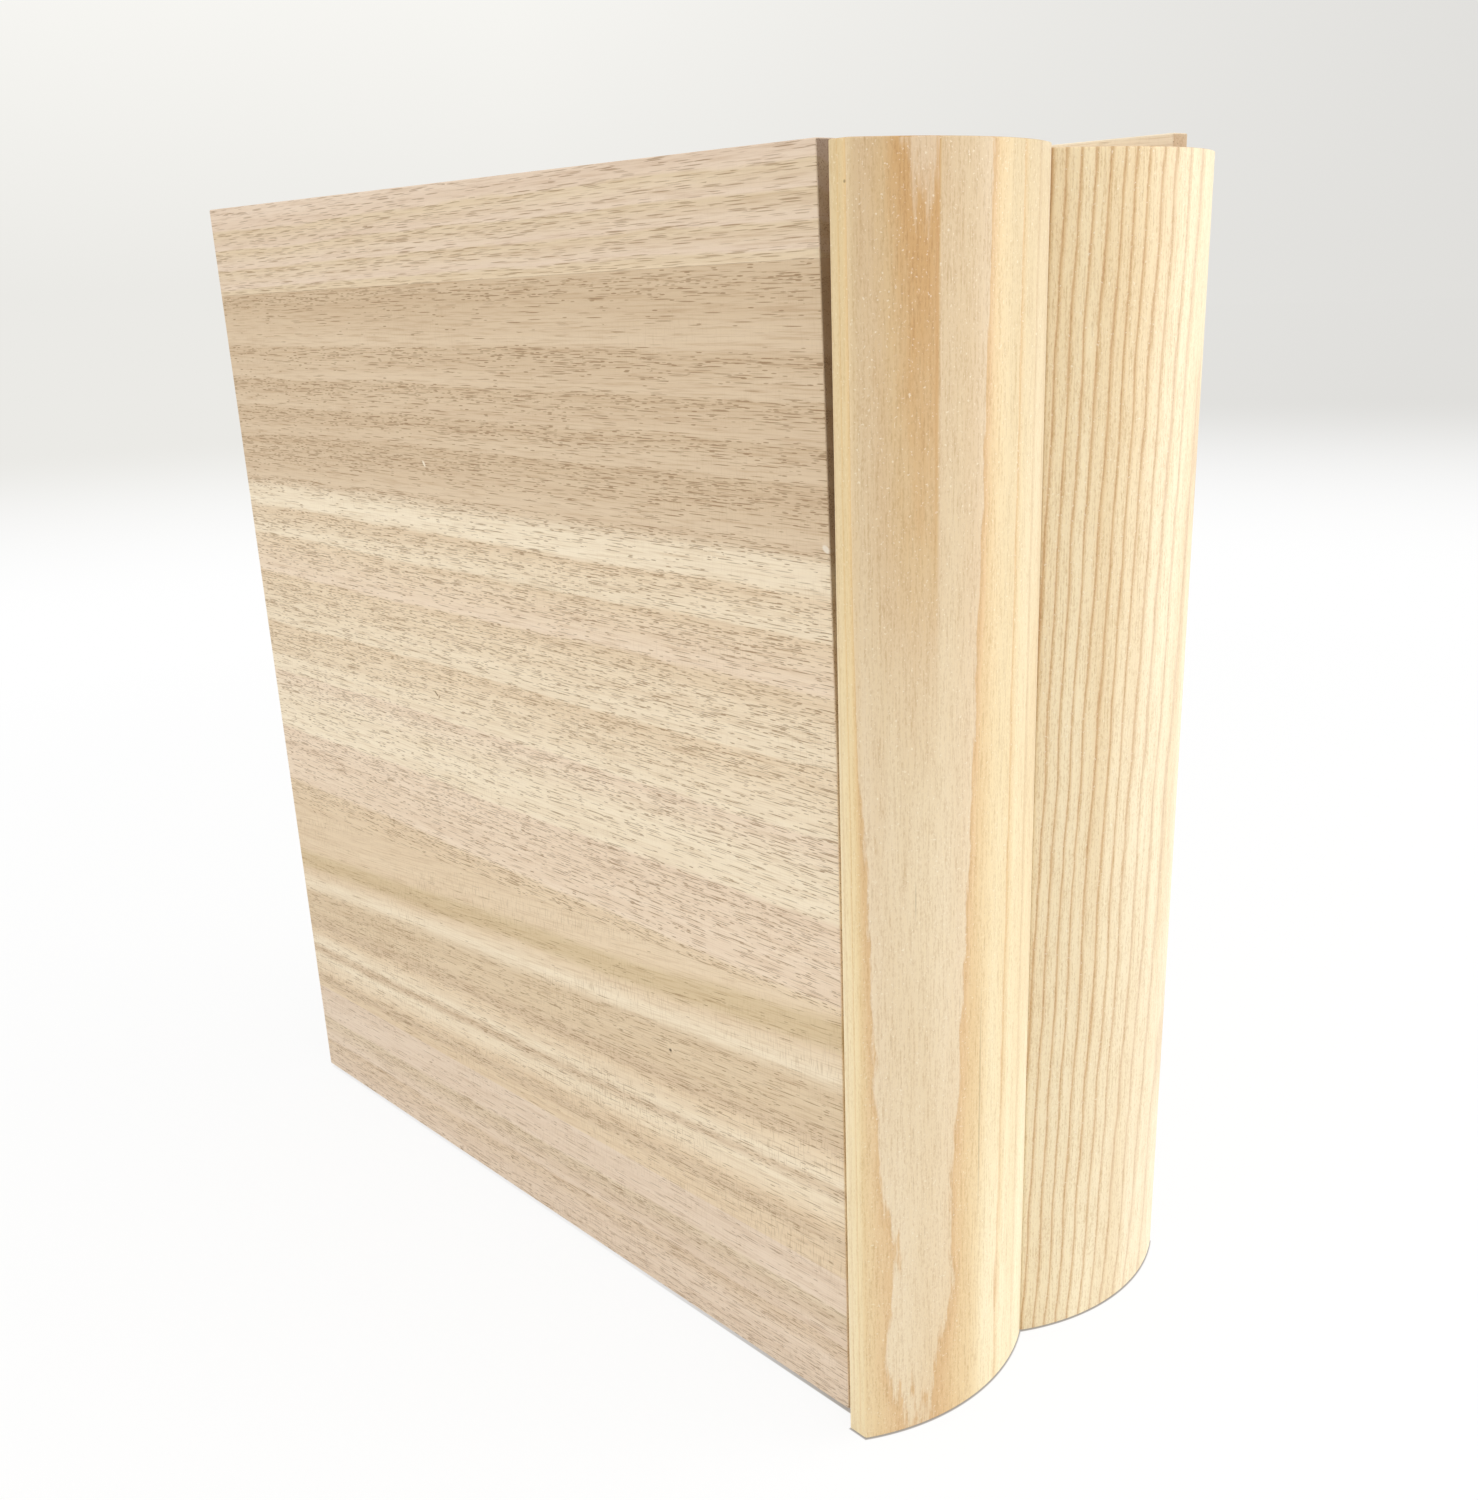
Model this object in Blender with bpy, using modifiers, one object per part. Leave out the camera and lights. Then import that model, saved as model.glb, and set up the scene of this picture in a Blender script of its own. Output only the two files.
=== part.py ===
"""A wooden compartment box made to look like two books standing side by side.

The box stands on its tail wall and on the lower ends of its two half-round spines. X runs from the
lid to the fixed back cover, Y from the spines to the fore edge, and Z up. The origin is on the table,
under the middle of the box. All lengths are in metres.
"""
import math

import bmesh
import bpy
from mathutils import Matrix, Vector

# Spines: two lengths of half-round pine moulding, side by side
SPINE_HEIGHT = 0.2170
SPINE_WIDTH = 0.0442
SPINE_EDGE = 0.0040
SPINE_CROWN_RISE = 0.00605
SPINE_ARRIS = 0.0003
RIGHT_SPINE_TRIM = 0.0007
CROWN_STEPS = 28

# Covers: thin boards of edge-glued staves, cut a hair longer than the spines
BOARD_THICKNESS = 0.0042
BOARD_REACH = 0.2016
BOARD_OVERLENGTH = 0.0002
LID_INSET = 0.0030
BACK_COVER_INSET = 0.0019
LID_FLOOR_GAP = 0.0005
BACK_COVER_FLOOR_GAP = 0.0022
HINGE_EDGE_GAP = 0.0033
HINGE_EDGE_TAPER = 0.0020
TAPER_START = 0.1245

# Heights of the glue lines, as shares of the board's height, at the spine and at the fore edge
LID_GLUE_SPINE_SHARES = (0.131, 0.374, 0.927)
LID_GLUE_FORE_SHARES = (0.110, 0.344, 0.915)
BACK_GLUE_SPINE_SHARES = (0.215, 0.610)
BACK_GLUE_FORE_SHARES = (0.235, 0.598)

# Frame: four walls, finger jointed at the corners
WALL_THICKNESS = 0.0095
FORE_EDGE_RECESS = 0.0040
HEAD_RECESS = 0.0035
FINGER_COUNT = 5

# Dividers: one upright and two shelves, halved into each other and grooved into the walls
DIVIDER_THICKNESS = 0.0030
DIVIDER_SETBACK = 0.0030
GROOVE_DEPTH = 0.0020
ROW_COUNT = 3

# Hinges: two small brass butts, let into the inner face of the lid
HINGE_LENGTH = 0.0200
HINGE_INSET = 0.0315
LEAF_THICKNESS = 0.0006
HINGE_PIN_RADIUS = 0.0005
BORE_CLEARANCE = 0.00015
BARREL_WALL = 0.00045
KNUCKLE_COUNT = 3

# Screws and nails that hold the hinges
FASTENER_INSET = 0.0040
HEAD_SINK = 0.00005
HOLE_CLEARANCE = 0.0002
SCREW_HEAD_RADIUS = 0.0011
SCREW_HEAD_HEIGHT = 0.0004
SCREW_SHANK_RADIUS = 0.0006
SCREW_LENGTH = 0.0080
NAIL_HEAD_RADIUS = 0.0010
NAIL_HEAD_HEIGHT = 0.0004
NAIL_SHANK_RADIUS = 0.00045
WOOD_OVER_NAILS = 0.00105

# Closure: a pair of disc magnets, one in the lid and one in the fore edge wall
MAGNET_RADIUS = 0.0030
MAGNET_THICKNESS = 0.0018
MAGNET_SINK = 0.0001

# Clearances shared by all pieces
FIT_GAP = 0.0003
OVERRUN = 0.0020
WELD = 0.000001
ROUND_STEPS = 16
DISC_STEPS = 32
SHARP_ANGLE = math.radians(35)

# How matt or bright the surfaces are
WOOD_ROUGHNESS = 0.68
BRASS_ROUGHNESS = 0.35
NICKEL_ROUGHNESS = 0.25

# Planes and places that follow from the sizes above
board_height = SPINE_HEIGHT + BOARD_OVERLENGTH
crown_radius = (SPINE_WIDTH / 2) ** 2 / (2 * SPINE_CROWN_RISE) + SPINE_CROWN_RISE / 2
spine_depth = SPINE_EDGE + SPINE_CROWN_RISE
box_depth = spine_depth + BOARD_REACH
spine_back_y = spine_depth - box_depth / 2
fore_edge_y = spine_back_y + BOARD_REACH
left_x = -(2 * SPINE_WIDTH + FIT_GAP) / 2

lid_outer_x = left_x + LID_INSET
lid_inner_x = lid_outer_x + BOARD_THICKNESS
rim_x = lid_inner_x + FIT_GAP
back_outer_x = -left_x - BACK_COVER_INSET
back_inner_x = back_outer_x - BOARD_THICKNESS
frame_back_x = back_inner_x - FIT_GAP
frame_depth = frame_back_x - rim_x

frame_front_y = spine_back_y + FIT_GAP
frame_rear_y = fore_edge_y - FORE_EDGE_RECESS
frame_length = frame_rear_y - frame_front_y
frame_height = SPINE_HEIGHT - HEAD_RECESS
inside_front_y = frame_front_y + WALL_THICKNESS
inside_rear_y = frame_rear_y - WALL_THICKNESS
inside_low_z = WALL_THICKNESS
inside_high_z = frame_height - WALL_THICKNESS

# The two leaves lie side by side in the lid's thickness, with the pin between them. The pin is set
# far enough behind the spine for the open lid to stand clear of the spine's back. The leaves end just
# short of the spine wall's inner face.
axis_x = lid_inner_x - LEAF_THICKNESS - FIT_GAP / 2
axis_y = spine_back_y + (axis_x - lid_outer_x) + FIT_GAP
barrel_radius = HINGE_PIN_RADIUS + BORE_CLEARANCE + BARREL_WALL
leaf_width = inside_front_y - FIT_GAP - axis_y
fastener_y = axis_y + (barrel_radius + leaf_width) / 2
fastener_offset = HINGE_LENGTH / 2 - FASTENER_INSET
lid_leaf_face_x = axis_x - FIT_GAP / 2
frame_leaf_face_x = axis_x + FIT_GAP / 2
lower_hinge_z = LID_FLOOR_GAP + HINGE_INSET + HINGE_LENGTH / 2
upper_hinge_z = LID_FLOOR_GAP + board_height - HINGE_INSET - HINGE_LENGTH / 2


def linear_colour(hex_code):
    """Turn an sRGB hex colour into the linear values that a shader socket takes."""
    channels = [int(hex_code[i:i + 2], 16) / 255 for i in (1, 3, 5)]
    return [c / 12.92 if c <= 0.04045 else ((c + 0.055) / 1.055) ** 2.4 for c in channels] + [1]


def finish(obj, hex_code, roughness, metallic=0):
    """Give a piece its own material."""
    material = bpy.data.materials.new(obj.name)
    material.use_nodes = True
    shader = material.node_tree.nodes["Principled BSDF"]
    shader.inputs["Base Color"].default_value = linear_colour(hex_code)
    shader.inputs["Roughness"].default_value = roughness
    shader.inputs["Metallic"].default_value = metallic
    material.diffuse_color = linear_colour(hex_code)
    obj.data.materials.clear()
    obj.data.materials.append(material)
    return obj


def new_object(name, data, location=(0, 0, 0), rotation=(0, 0, 0)):
    """Put a mesh or curve in the parts collection."""
    obj = bpy.data.objects.new(name, data)
    obj.location = location
    obj.rotation_euler = rotation
    parts.objects.link(obj)
    return obj


def as_cutter(obj):
    """Move an object to the cutters collection, hidden from renders and drawn as wire."""
    parts.objects.unlink(obj)
    cutters.objects.link(obj)
    obj.hide_render = True
    obj.display_type = "WIRE"
    return obj


def frozen_mesh(obj):
    """Return an object's evaluated mesh in world space, welded, and remove the object."""
    bpy.context.view_layer.update()
    depsgraph = bpy.context.evaluated_depsgraph_get()
    mesh = bpy.data.meshes.new_from_object(obj.evaluated_get(depsgraph))
    mesh.transform(obj.matrix_world)
    bpy.data.objects.remove(obj)
    shape = bmesh.new()
    shape.from_mesh(mesh)
    bmesh.ops.remove_doubles(shape, verts=shape.verts, dist=WELD)
    bmesh.ops.recalc_face_normals(shape, faces=shape.faces)
    shape.to_mesh(mesh)
    shape.free()
    return mesh


def smooth(obj):
    """Shade a round piece smooth, with its corners kept sharp."""
    obj.data.shade_smooth()
    obj.data.set_sharp_from_angle(angle=SHARP_ANGLE)
    return obj


def box_between(name, low, high):
    """A box from its lowest corner to its highest, with its origin at its middle."""
    size = Vector(high) - Vector(low)
    shape = bmesh.new()
    bmesh.ops.create_cube(shape, size=1, matrix=Matrix.Diagonal((*size, 1)))
    mesh = bpy.data.meshes.new(name)
    shape.to_mesh(mesh)
    shape.free()
    return new_object(name, mesh, (Vector(low) + Vector(high)) / 2)


def rod(name, radius, start, end, steps=ROUND_STEPS):
    """A cylinder from one point to another, with its origin at its middle."""
    run = Vector(end) - Vector(start)
    shape = bmesh.new()
    bmesh.ops.create_cone(
        shape, cap_ends=True, segments=steps, radius1=radius, radius2=radius, depth=run.length
    )
    mesh = bpy.data.meshes.new(name)
    shape.to_mesh(mesh)
    shape.free()
    turn = run.to_track_quat("Z", "Y").to_euler()
    return smooth(new_object(name, mesh, (Vector(start) + Vector(end)) / 2, turn))


def plate(name, outline, thickness, location, rotation):
    """A flat piece: a closed outline in its own XY plane, thickened evenly to both sides."""
    curve = bpy.data.curves.new(name, "CURVE")
    curve.dimensions = "2D"
    curve.fill_mode = "BOTH"
    curve.extrude = thickness / 2
    spline = curve.splines.new("POLY")
    spline.points.add(len(outline) - 1)
    for point, (u, v) in zip(spline.points, outline):
        point.co = (u, v, 0, 1)
    spline.use_cyclic_u = True
    mesh = frozen_mesh(new_object(name, curve))
    mesh.name = name
    return new_object(name, mesh, location, rotation)


def cut(obj, cutter):
    """Take a cutter's shape out of a piece, with a Boolean modifier."""
    modifier = obj.modifiers.new(cutter.name, "BOOLEAN")
    modifier.operation = "DIFFERENCE"
    modifier.object = cutter
    modifier.solver = "EXACT"
    return obj


def hang_on(pivot, *pieces):
    """Parent pieces to a joint's empty and keep them where they are."""
    for piece in pieces:
        piece.location -= pivot.location
        piece.parent = pivot


def start_scene():
    """Remove the scene's objects and make the two collections."""
    for obj in list(bpy.data.objects):
        bpy.data.objects.remove(obj)
    made = []
    for name in ("book_compartment_box", "cutters"):
        collection = bpy.data.collections.new(name)
        bpy.context.scene.collection.children.link(collection)
        made.append(collection)
    return made


def spine_outline():
    """The D section: a flat back on y = 0, two flat sides and a round front, towards -y."""
    half_angle = math.asin(SPINE_WIDTH / 2 / crown_radius)
    centre_y = crown_radius - spine_depth
    outline = [(SPINE_WIDTH / 2, 0), (-SPINE_WIDTH / 2, 0)]
    for step in range(CROWN_STEPS + 1):
        angle = half_angle * (2 * step / CROWN_STEPS - 1)
        outline.append((
            crown_radius * math.sin(angle), centre_y - crown_radius * math.cos(angle)
        ))
    return outline


def make_spines():
    """Two mouldings, glued to the outside of the spine wall, the right one cut a little short."""
    centre = (SPINE_WIDTH + FIT_GAP) / 2
    rows = (
        ("left_spine_moulding", -centre, SPINE_HEIGHT, "#ebd0a6"),
        ("right_spine_moulding", centre, SPINE_HEIGHT - RIGHT_SPINE_TRIM, "#efd9b0"),
    )
    for name, x, height, colour in rows:
        moulding = plate(
            name, spine_outline(), height, (x, spine_back_y, height / 2), (0, 0, 0)
        )
        bevel = moulding.modifiers.new("arris", "BEVEL")
        bevel.width = SPINE_ARRIS
        bevel.segments = 1
        bevel.limit_method = "ANGLE"
        bevel.angle_limit = SHARP_ANGLE
        finish(smooth(moulding), colour, WOOD_ROUGHNESS)


def stave_outlines(edge_y, spine_shares, fore_shares, bends):
    """Outlines of one board's staves, from tail to head, as (y, z) from its lower spine corner.

    edge_y gives the board's spine-side edge at a height, and bends lists the heights where that
    edge changes direction. Each glue line runs straight between its two shares of the height.
    """
    outlines = []
    spine_cuts = [share * board_height for share in (0, *spine_shares, 1)]
    fore_cuts = [share * board_height for share in (0, *fore_shares, 1)]
    last = len(spine_cuts) - 2
    for i in range(len(spine_cuts) - 1):
        lower = FIT_GAP / 2 if i > 0 else 0
        upper = FIT_GAP / 2 if i < last else 0
        low, high = spine_cuts[i] + lower, spine_cuts[i + 1] - upper
        outline = [
            (edge_y(low), low),
            (BOARD_REACH, fore_cuts[i] + lower),
            (BOARD_REACH, fore_cuts[i + 1] - upper),
            (edge_y(high), high),
        ]
        outline += [(edge_y(z), z) for z in bends if low < z < high]
        outlines.append(outline)
    return outlines


def make_board(names, outlines, middle_x, floor_gap, colours):
    """The staves of one cover, each a plate in its own node."""
    staves = []
    for name, outline, colour in zip(names, outlines, colours):
        stave = plate(
            name, outline, BOARD_THICKNESS, (middle_x, spine_back_y, floor_gap),
            (math.pi / 2, 0, math.pi / 2),
        )
        staves.append(finish(stave, colour, WOOD_ROUGHNESS))
    return staves


def lid_edge_y(z):
    """The lid's hinge edge: straight below, planed back towards the head."""
    rise = max(0, z - TAPER_START) / (board_height - TAPER_START)
    return HINGE_EDGE_GAP + HINGE_EDGE_TAPER * rise


def back_edge_y(z):
    """The back cover's spine-side edge, glued close behind the right spine."""
    return FIT_GAP


def make_lid():
    """The left cover, which is the lid."""
    names = ("lid_tail_stave", "lid_lower_stave", "lid_wide_stave", "lid_head_stave")
    outlines = stave_outlines(
        lid_edge_y, LID_GLUE_SPINE_SHARES, LID_GLUE_FORE_SHARES, [TAPER_START]
    )
    middle_x = (lid_outer_x + lid_inner_x) / 2
    return make_board(
        names, outlines, middle_x, LID_FLOOR_GAP, ("#d9c2a6", "#dcc59d", "#d8c2a0", "#dcc3a6")
    )


def make_back_cover():
    """The right cover, which is glued to the frame's back edges and stands a little high."""
    names = ("back_cover_tail_stave", "back_cover_middle_stave", "back_cover_head_stave")
    outlines = stave_outlines(back_edge_y, BACK_GLUE_SPINE_SHARES, BACK_GLUE_FORE_SHARES, [])
    middle_x = (back_outer_x + back_inner_x) / 2
    return make_board(
        names, outlines, middle_x, BACK_COVER_FLOOR_GAP, ("#d9c2a6", "#dcc59d", "#dcc3a6")
    )


def finger_rooms(first_full):
    """The X ranges that a wall gives up to its neighbour's fingers, every other one of the depth."""
    pitch = frame_depth / FINGER_COUNT
    rooms = []
    for i in range(FINGER_COUNT):
        if (i % 2 == 0) == first_full:
            continue
        before = FIT_GAP / 2 if i > 0 else OVERRUN
        after = FIT_GAP / 2 if i < FINGER_COUNT - 1 else OVERRUN
        rooms.append((rim_x + i * pitch - before, rim_x + (i + 1) * pitch + after))
    return rooms


def make_walls():
    """Spine wall and fore edge wall stand up; tail wall and head wall lie between their ends."""
    rows = (
        ("spine_wall", (frame_front_y, 0), (inside_front_y, frame_height)),
        ("fore_edge_wall", (inside_rear_y, 0), (frame_rear_y, frame_height)),
        ("tail_wall", (frame_front_y, 0), (frame_rear_y, inside_low_z)),
        ("head_wall", (frame_front_y, inside_high_z), (frame_rear_y, frame_height)),
    )
    walls = {}
    for name, low, high in rows:
        wall = box_between(name, (rim_x, *low), (frame_back_x, *high))
        walls[name] = finish(wall, "#e2cba8", WOOD_ROUGHNESS)

    reach = WALL_THICKNESS + FIT_GAP
    all_y = (frame_front_y - OVERRUN, frame_rear_y + OVERRUN)
    all_z = (-OVERRUN, frame_height + OVERRUN)
    uprights = (walls["spine_wall"], walls["fore_edge_wall"])
    flats = (walls["tail_wall"], walls["head_wall"])
    ends = (
        (uprights, True, all_y, (-OVERRUN, reach)),
        (uprights, True, all_y, (frame_height - reach, frame_height + OVERRUN)),
        (flats, False, (frame_front_y - OVERRUN, frame_front_y + reach), all_z),
        (flats, False, (frame_rear_y - reach, frame_rear_y + OVERRUN), all_z),
    )
    for jointed, first_full, (low_y, high_y), (low_z, high_z) in ends:
        for low_x, high_x in finger_rooms(first_full):
            room = as_cutter(box_between(
                "finger_room", (low_x, low_y, low_z), (high_x, high_y, high_z)
            ))
            for wall in jointed:
                cut(wall, room)
    return walls


def make_dividers(walls):
    """Three thin boards that part the inside into six cells.

    The upright one is slotted from the lid's side and the shelves from the back cover's side, so
    that they halve into each other. Their ends stand in grooves in the walls.
    """
    reach = GROOVE_DEPTH - FIT_GAP
    front_x = rim_x + DIVIDER_SETBACK
    middle_x = (front_x + frame_back_x) / 2
    middle_y = (inside_front_y + inside_rear_y) / 2
    row_pitch = (inside_high_z - inside_low_z) / ROW_COUNT
    half = DIVIDER_THICKNESS / 2
    room = half + FIT_GAP

    upright = finish(box_between(
        "upright_divider",
        (front_x, middle_y - half, inside_low_z - reach),
        (frame_back_x, middle_y + half, inside_high_z + reach),
    ), "#dfc9a4", WOOD_ROUGHNESS)
    groove = as_cutter(box_between(
        "upright_groove",
        (front_x - FIT_GAP, middle_y - room, inside_low_z - GROOVE_DEPTH),
        (frame_back_x + OVERRUN, middle_y + room, inside_high_z + GROOVE_DEPTH),
    ))
    cut(walls["tail_wall"], groove)
    cut(walls["head_wall"], groove)
    for i in range(1, ROW_COUNT):
        z = inside_low_z + row_pitch * i
        shelf = finish(box_between(
            f"shelf_divider_{i}",
            (front_x, inside_front_y - reach, z - half),
            (frame_back_x, inside_rear_y + reach, z + half),
        ), "#dfc9a4", WOOD_ROUGHNESS)
        groove = as_cutter(box_between(
            f"shelf_groove_{i}",
            (front_x - FIT_GAP, inside_front_y - GROOVE_DEPTH, z - room),
            (frame_back_x + OVERRUN, inside_rear_y + GROOVE_DEPTH, z + room),
        ))
        cut(walls["spine_wall"], groove)
        cut(walls["fore_edge_wall"], groove)
        upright_slot = as_cutter(box_between(
            f"upright_slot_{i}",
            (front_x - OVERRUN, middle_y - half - OVERRUN, z - room),
            (middle_x + FIT_GAP / 2, middle_y + half + OVERRUN, z + room),
        ))
        cut(upright, upright_slot)
        shelf_slot = as_cutter(box_between(
            f"shelf_slot_{i}",
            (middle_x - FIT_GAP / 2, middle_y - room, z - half - OVERRUN),
            (frame_back_x + OVERRUN, middle_y + room, z + half + OVERRUN),
        ))
        cut(shelf, shelf_slot)


def knuckle_spans():
    """Heights of the hinge's knuckles from its middle, tail to head; the odd ones are the lid's."""
    length = (HINGE_LENGTH - (KNUCKLE_COUNT - 1) * FIT_GAP) / KNUCKLE_COUNT
    starts = [i * (length + FIT_GAP) - HINGE_LENGTH / 2 for i in range(KNUCKLE_COUNT)]
    return [(start, start + length) for start in starts]


def countersink(name, head_radius, shank_radius):
    """A cone that opens at z = 0 and narrows through the leaf, along +z."""
    wide, narrow = head_radius + HOLE_CLEARANCE, shank_radius + HOLE_CLEARANCE
    slope = (wide - narrow) / LEAF_THICKNESS
    shape = bmesh.new()
    bmesh.ops.create_cone(
        shape, cap_ends=True, segments=ROUND_STEPS,
        radius1=wide + slope * HEAD_SINK, radius2=narrow - slope * HEAD_SINK,
        depth=LEAF_THICKNESS + 2 * HEAD_SINK,
        matrix=Matrix.Translation((0, 0, LEAF_THICKNESS / 2)),
    )
    mesh = bpy.data.meshes.new(name)
    shape.to_mesh(mesh)
    shape.free()
    return new_object(name, mesh)


def leaf_outline(side):
    """A leaf's section across the pin: a strip whose near end is rolled into a round knuckle.

    The round starts where it meets the strip's inner face and ends where it meets the outer one.
    """
    near = side * FIT_GAP / 2
    far = side * (FIT_GAP / 2 + LEAF_THICKNESS)
    first = math.acos(near / barrel_radius)
    last = math.acos(far / barrel_radius)
    turn = side * (2 * math.pi - abs(last - first))
    steps = 2 * ROUND_STEPS
    angles = [first + turn * i / steps for i in range(steps + 1)]
    circle = [(barrel_radius * math.cos(a), barrel_radius * math.sin(a)) for a in angles]
    return [(far, leaf_width), (near, leaf_width)] + circle


def leaf_mesh(name, side, head_radius, shank_radius):
    """One hinge leaf round the pin's axis: side -1 is the lid's leaf and side 1 the frame's.

    The leaf is one rolled strip that runs towards +y beside the axis, cut away where the other
    leaf has its knuckles, bored for the pin and countersunk for its two nails or screws.
    """
    near = side * FIT_GAP / 2
    end = HINGE_LENGTH / 2
    leaf = plate(name, leaf_outline(side), HINGE_LENGTH, (0, 0, 0), (0, 0, 0))
    helpers = []
    clear = barrel_radius + FIT_GAP
    for i, (low, high) in enumerate(knuckle_spans()):
        if (i % 2 == 1) == (side > 0):
            helpers.append(box_between(
                "knuckle_room", (-clear, -clear, low - FIT_GAP), (clear, clear, high + FIT_GAP)
            ))
            cut(leaf, helpers[-1])
    helpers.append(rod(
        "bore", HINGE_PIN_RADIUS + BORE_CLEARANCE, (0, 0, -end - OVERRUN), (0, 0, end + OVERRUN)
    ))
    cut(leaf, helpers[-1])
    for z in (-fastener_offset, fastener_offset):
        hole = countersink("fastener_hole", head_radius, shank_radius)
        hole.location = (near, fastener_y - axis_y, z)
        hole.rotation_euler = (0, side * math.pi / 2, 0)
        helpers.append(hole)
        cut(leaf, hole)
    mesh = frozen_mesh(leaf)
    for helper in helpers:
        bpy.data.objects.remove(helper)
    return mesh


def fastener_mesh(name, head_radius, head_height, shank_radius, length):
    """A countersunk nail or screw: a turned profile, head up at z = 0, point down."""
    profile = (
        (0, 0), (head_radius, 0), (shank_radius, -head_height),
        (shank_radius, shank_radius - length), (0, -length),
    )
    edges = [(i, i + 1) for i in range(len(profile) - 1)]
    mesh = bpy.data.meshes.new(name)
    mesh.from_pydata([(radius, 0, z) for radius, z in profile], edges, [])
    blank = new_object(name, mesh)
    turn = blank.modifiers.new("turn", "SCREW")
    turn.axis = "Z"
    turn.steps = ROUND_STEPS
    turn.render_steps = ROUND_STEPS
    turn.use_merge_vertices = True
    turn.merge_threshold = WELD
    return frozen_mesh(blank)


def brass(obj, colour):
    """Finish a piece in brass."""
    return finish(smooth(obj), colour, BRASS_ROUGHNESS, 1)


def let_in_hinge(label, low_z, high_z, pivot, lid_staves, spine_wall):
    """Cut the rooms for one hinge: a mortise in the lid and a relief in the spine wall's rim."""
    barrel_room = barrel_radius + FIT_GAP
    outside_y = spine_back_y - OVERRUN
    mortise = as_cutter(box_between(
        f"{label}_mortise",
        (lid_leaf_face_x - LEAF_THICKNESS - FIT_GAP, outside_y, low_z),
        (lid_inner_x + OVERRUN, axis_y + leaf_width + FIT_GAP, high_z),
    ))
    lid_relief = as_cutter(box_between(
        f"{label}_lid_relief",
        (axis_x - barrel_room, outside_y, low_z),
        (lid_inner_x + OVERRUN, axis_y + barrel_room, high_z),
    ))
    wall_relief = as_cutter(box_between(
        f"{label}_wall_relief",
        (rim_x - OVERRUN, outside_y, low_z),
        (axis_x + barrel_room, axis_y + barrel_room, high_z),
    ))
    hang_on(pivot, mortise, lid_relief)
    for stave in lid_staves:
        cut(stave, mortise)
        cut(stave, lid_relief)
    cut(spine_wall, wall_relief)


def fasten_hinge(label, number, z, nail, screw, pivot, lid_staves, spine_wall):
    """Drive one nail into the lid and one screw into the spine wall, at the same height."""
    nail_x = lid_leaf_face_x - HEAD_SINK
    screw_x = frame_leaf_face_x + HEAD_SINK
    driven = new_object(
        f"{label}_hinge_nail_{number}", nail.copy(), (nail_x, fastener_y, z), (0, math.pi / 2, 0)
    )
    driven_screw = new_object(
        f"{label}_hinge_screw_{number}", screw.copy(), (screw_x, fastener_y, z), (0, -math.pi / 2, 0)
    )
    brass(driven, "#bf9a52")
    brass(driven_screw, "#bf9a52")
    nail_hole = as_cutter(rod(
        f"{label}_nail_hole_{number}", NAIL_SHANK_RADIUS + HOLE_CLEARANCE, (axis_x, fastener_y, z),
        (lid_outer_x + WOOD_OVER_NAILS - HOLE_CLEARANCE, fastener_y, z),
    ))
    screw_hole = as_cutter(rod(
        f"{label}_screw_hole_{number}", SCREW_SHANK_RADIUS + HOLE_CLEARANCE, (axis_x, fastener_y, z),
        (screw_x + SCREW_LENGTH + HOLE_CLEARANCE, fastener_y, z),
    ))
    hang_on(pivot, driven, nail_hole)
    for stave in lid_staves:
        cut(stave, nail_hole)
    cut(spine_wall, screw_hole)


def make_hinges(pivot, lid_staves, spine_wall):
    """Two hinges, each with two leaves, a pin, two nails and two screws."""
    lid_leaf = leaf_mesh("lid_leaf", -1, NAIL_HEAD_RADIUS, NAIL_SHANK_RADIUS)
    frame_leaf = leaf_mesh("frame_leaf", 1, SCREW_HEAD_RADIUS, SCREW_SHANK_RADIUS)
    nail_length = lid_leaf_face_x - HEAD_SINK - lid_outer_x - WOOD_OVER_NAILS
    nail = fastener_mesh(
        "nail", NAIL_HEAD_RADIUS, NAIL_HEAD_HEIGHT, NAIL_SHANK_RADIUS, nail_length
    )
    screw = fastener_mesh(
        "screw", SCREW_HEAD_RADIUS, SCREW_HEAD_HEIGHT, SCREW_SHANK_RADIUS, SCREW_LENGTH
    )
    for label, height in (("lower", lower_hinge_z), ("upper", upper_hinge_z)):
        low_z, high_z = height - HINGE_LENGTH / 2, height + HINGE_LENGTH / 2
        middle = (axis_x, axis_y, height)
        moving = brass(new_object(f"{label}_hinge_lid_leaf", lid_leaf.copy(), middle), "#c9a35a")
        hang_on(pivot, moving)
        brass(new_object(f"{label}_hinge_frame_leaf", frame_leaf.copy(), middle), "#c9a35a")
        brass(rod(
            f"{label}_hinge_pin", HINGE_PIN_RADIUS, (axis_x, axis_y, low_z), (axis_x, axis_y, high_z)
        ), "#b8954f")
        let_in_hinge(label, low_z - FIT_GAP, high_z + FIT_GAP, pivot, lid_staves, spine_wall)
        for number, offset in ((1, -fastener_offset), (2, fastener_offset)):
            fasten_hinge(label, number, height + offset, nail, screw, pivot, lid_staves, spine_wall)


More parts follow.
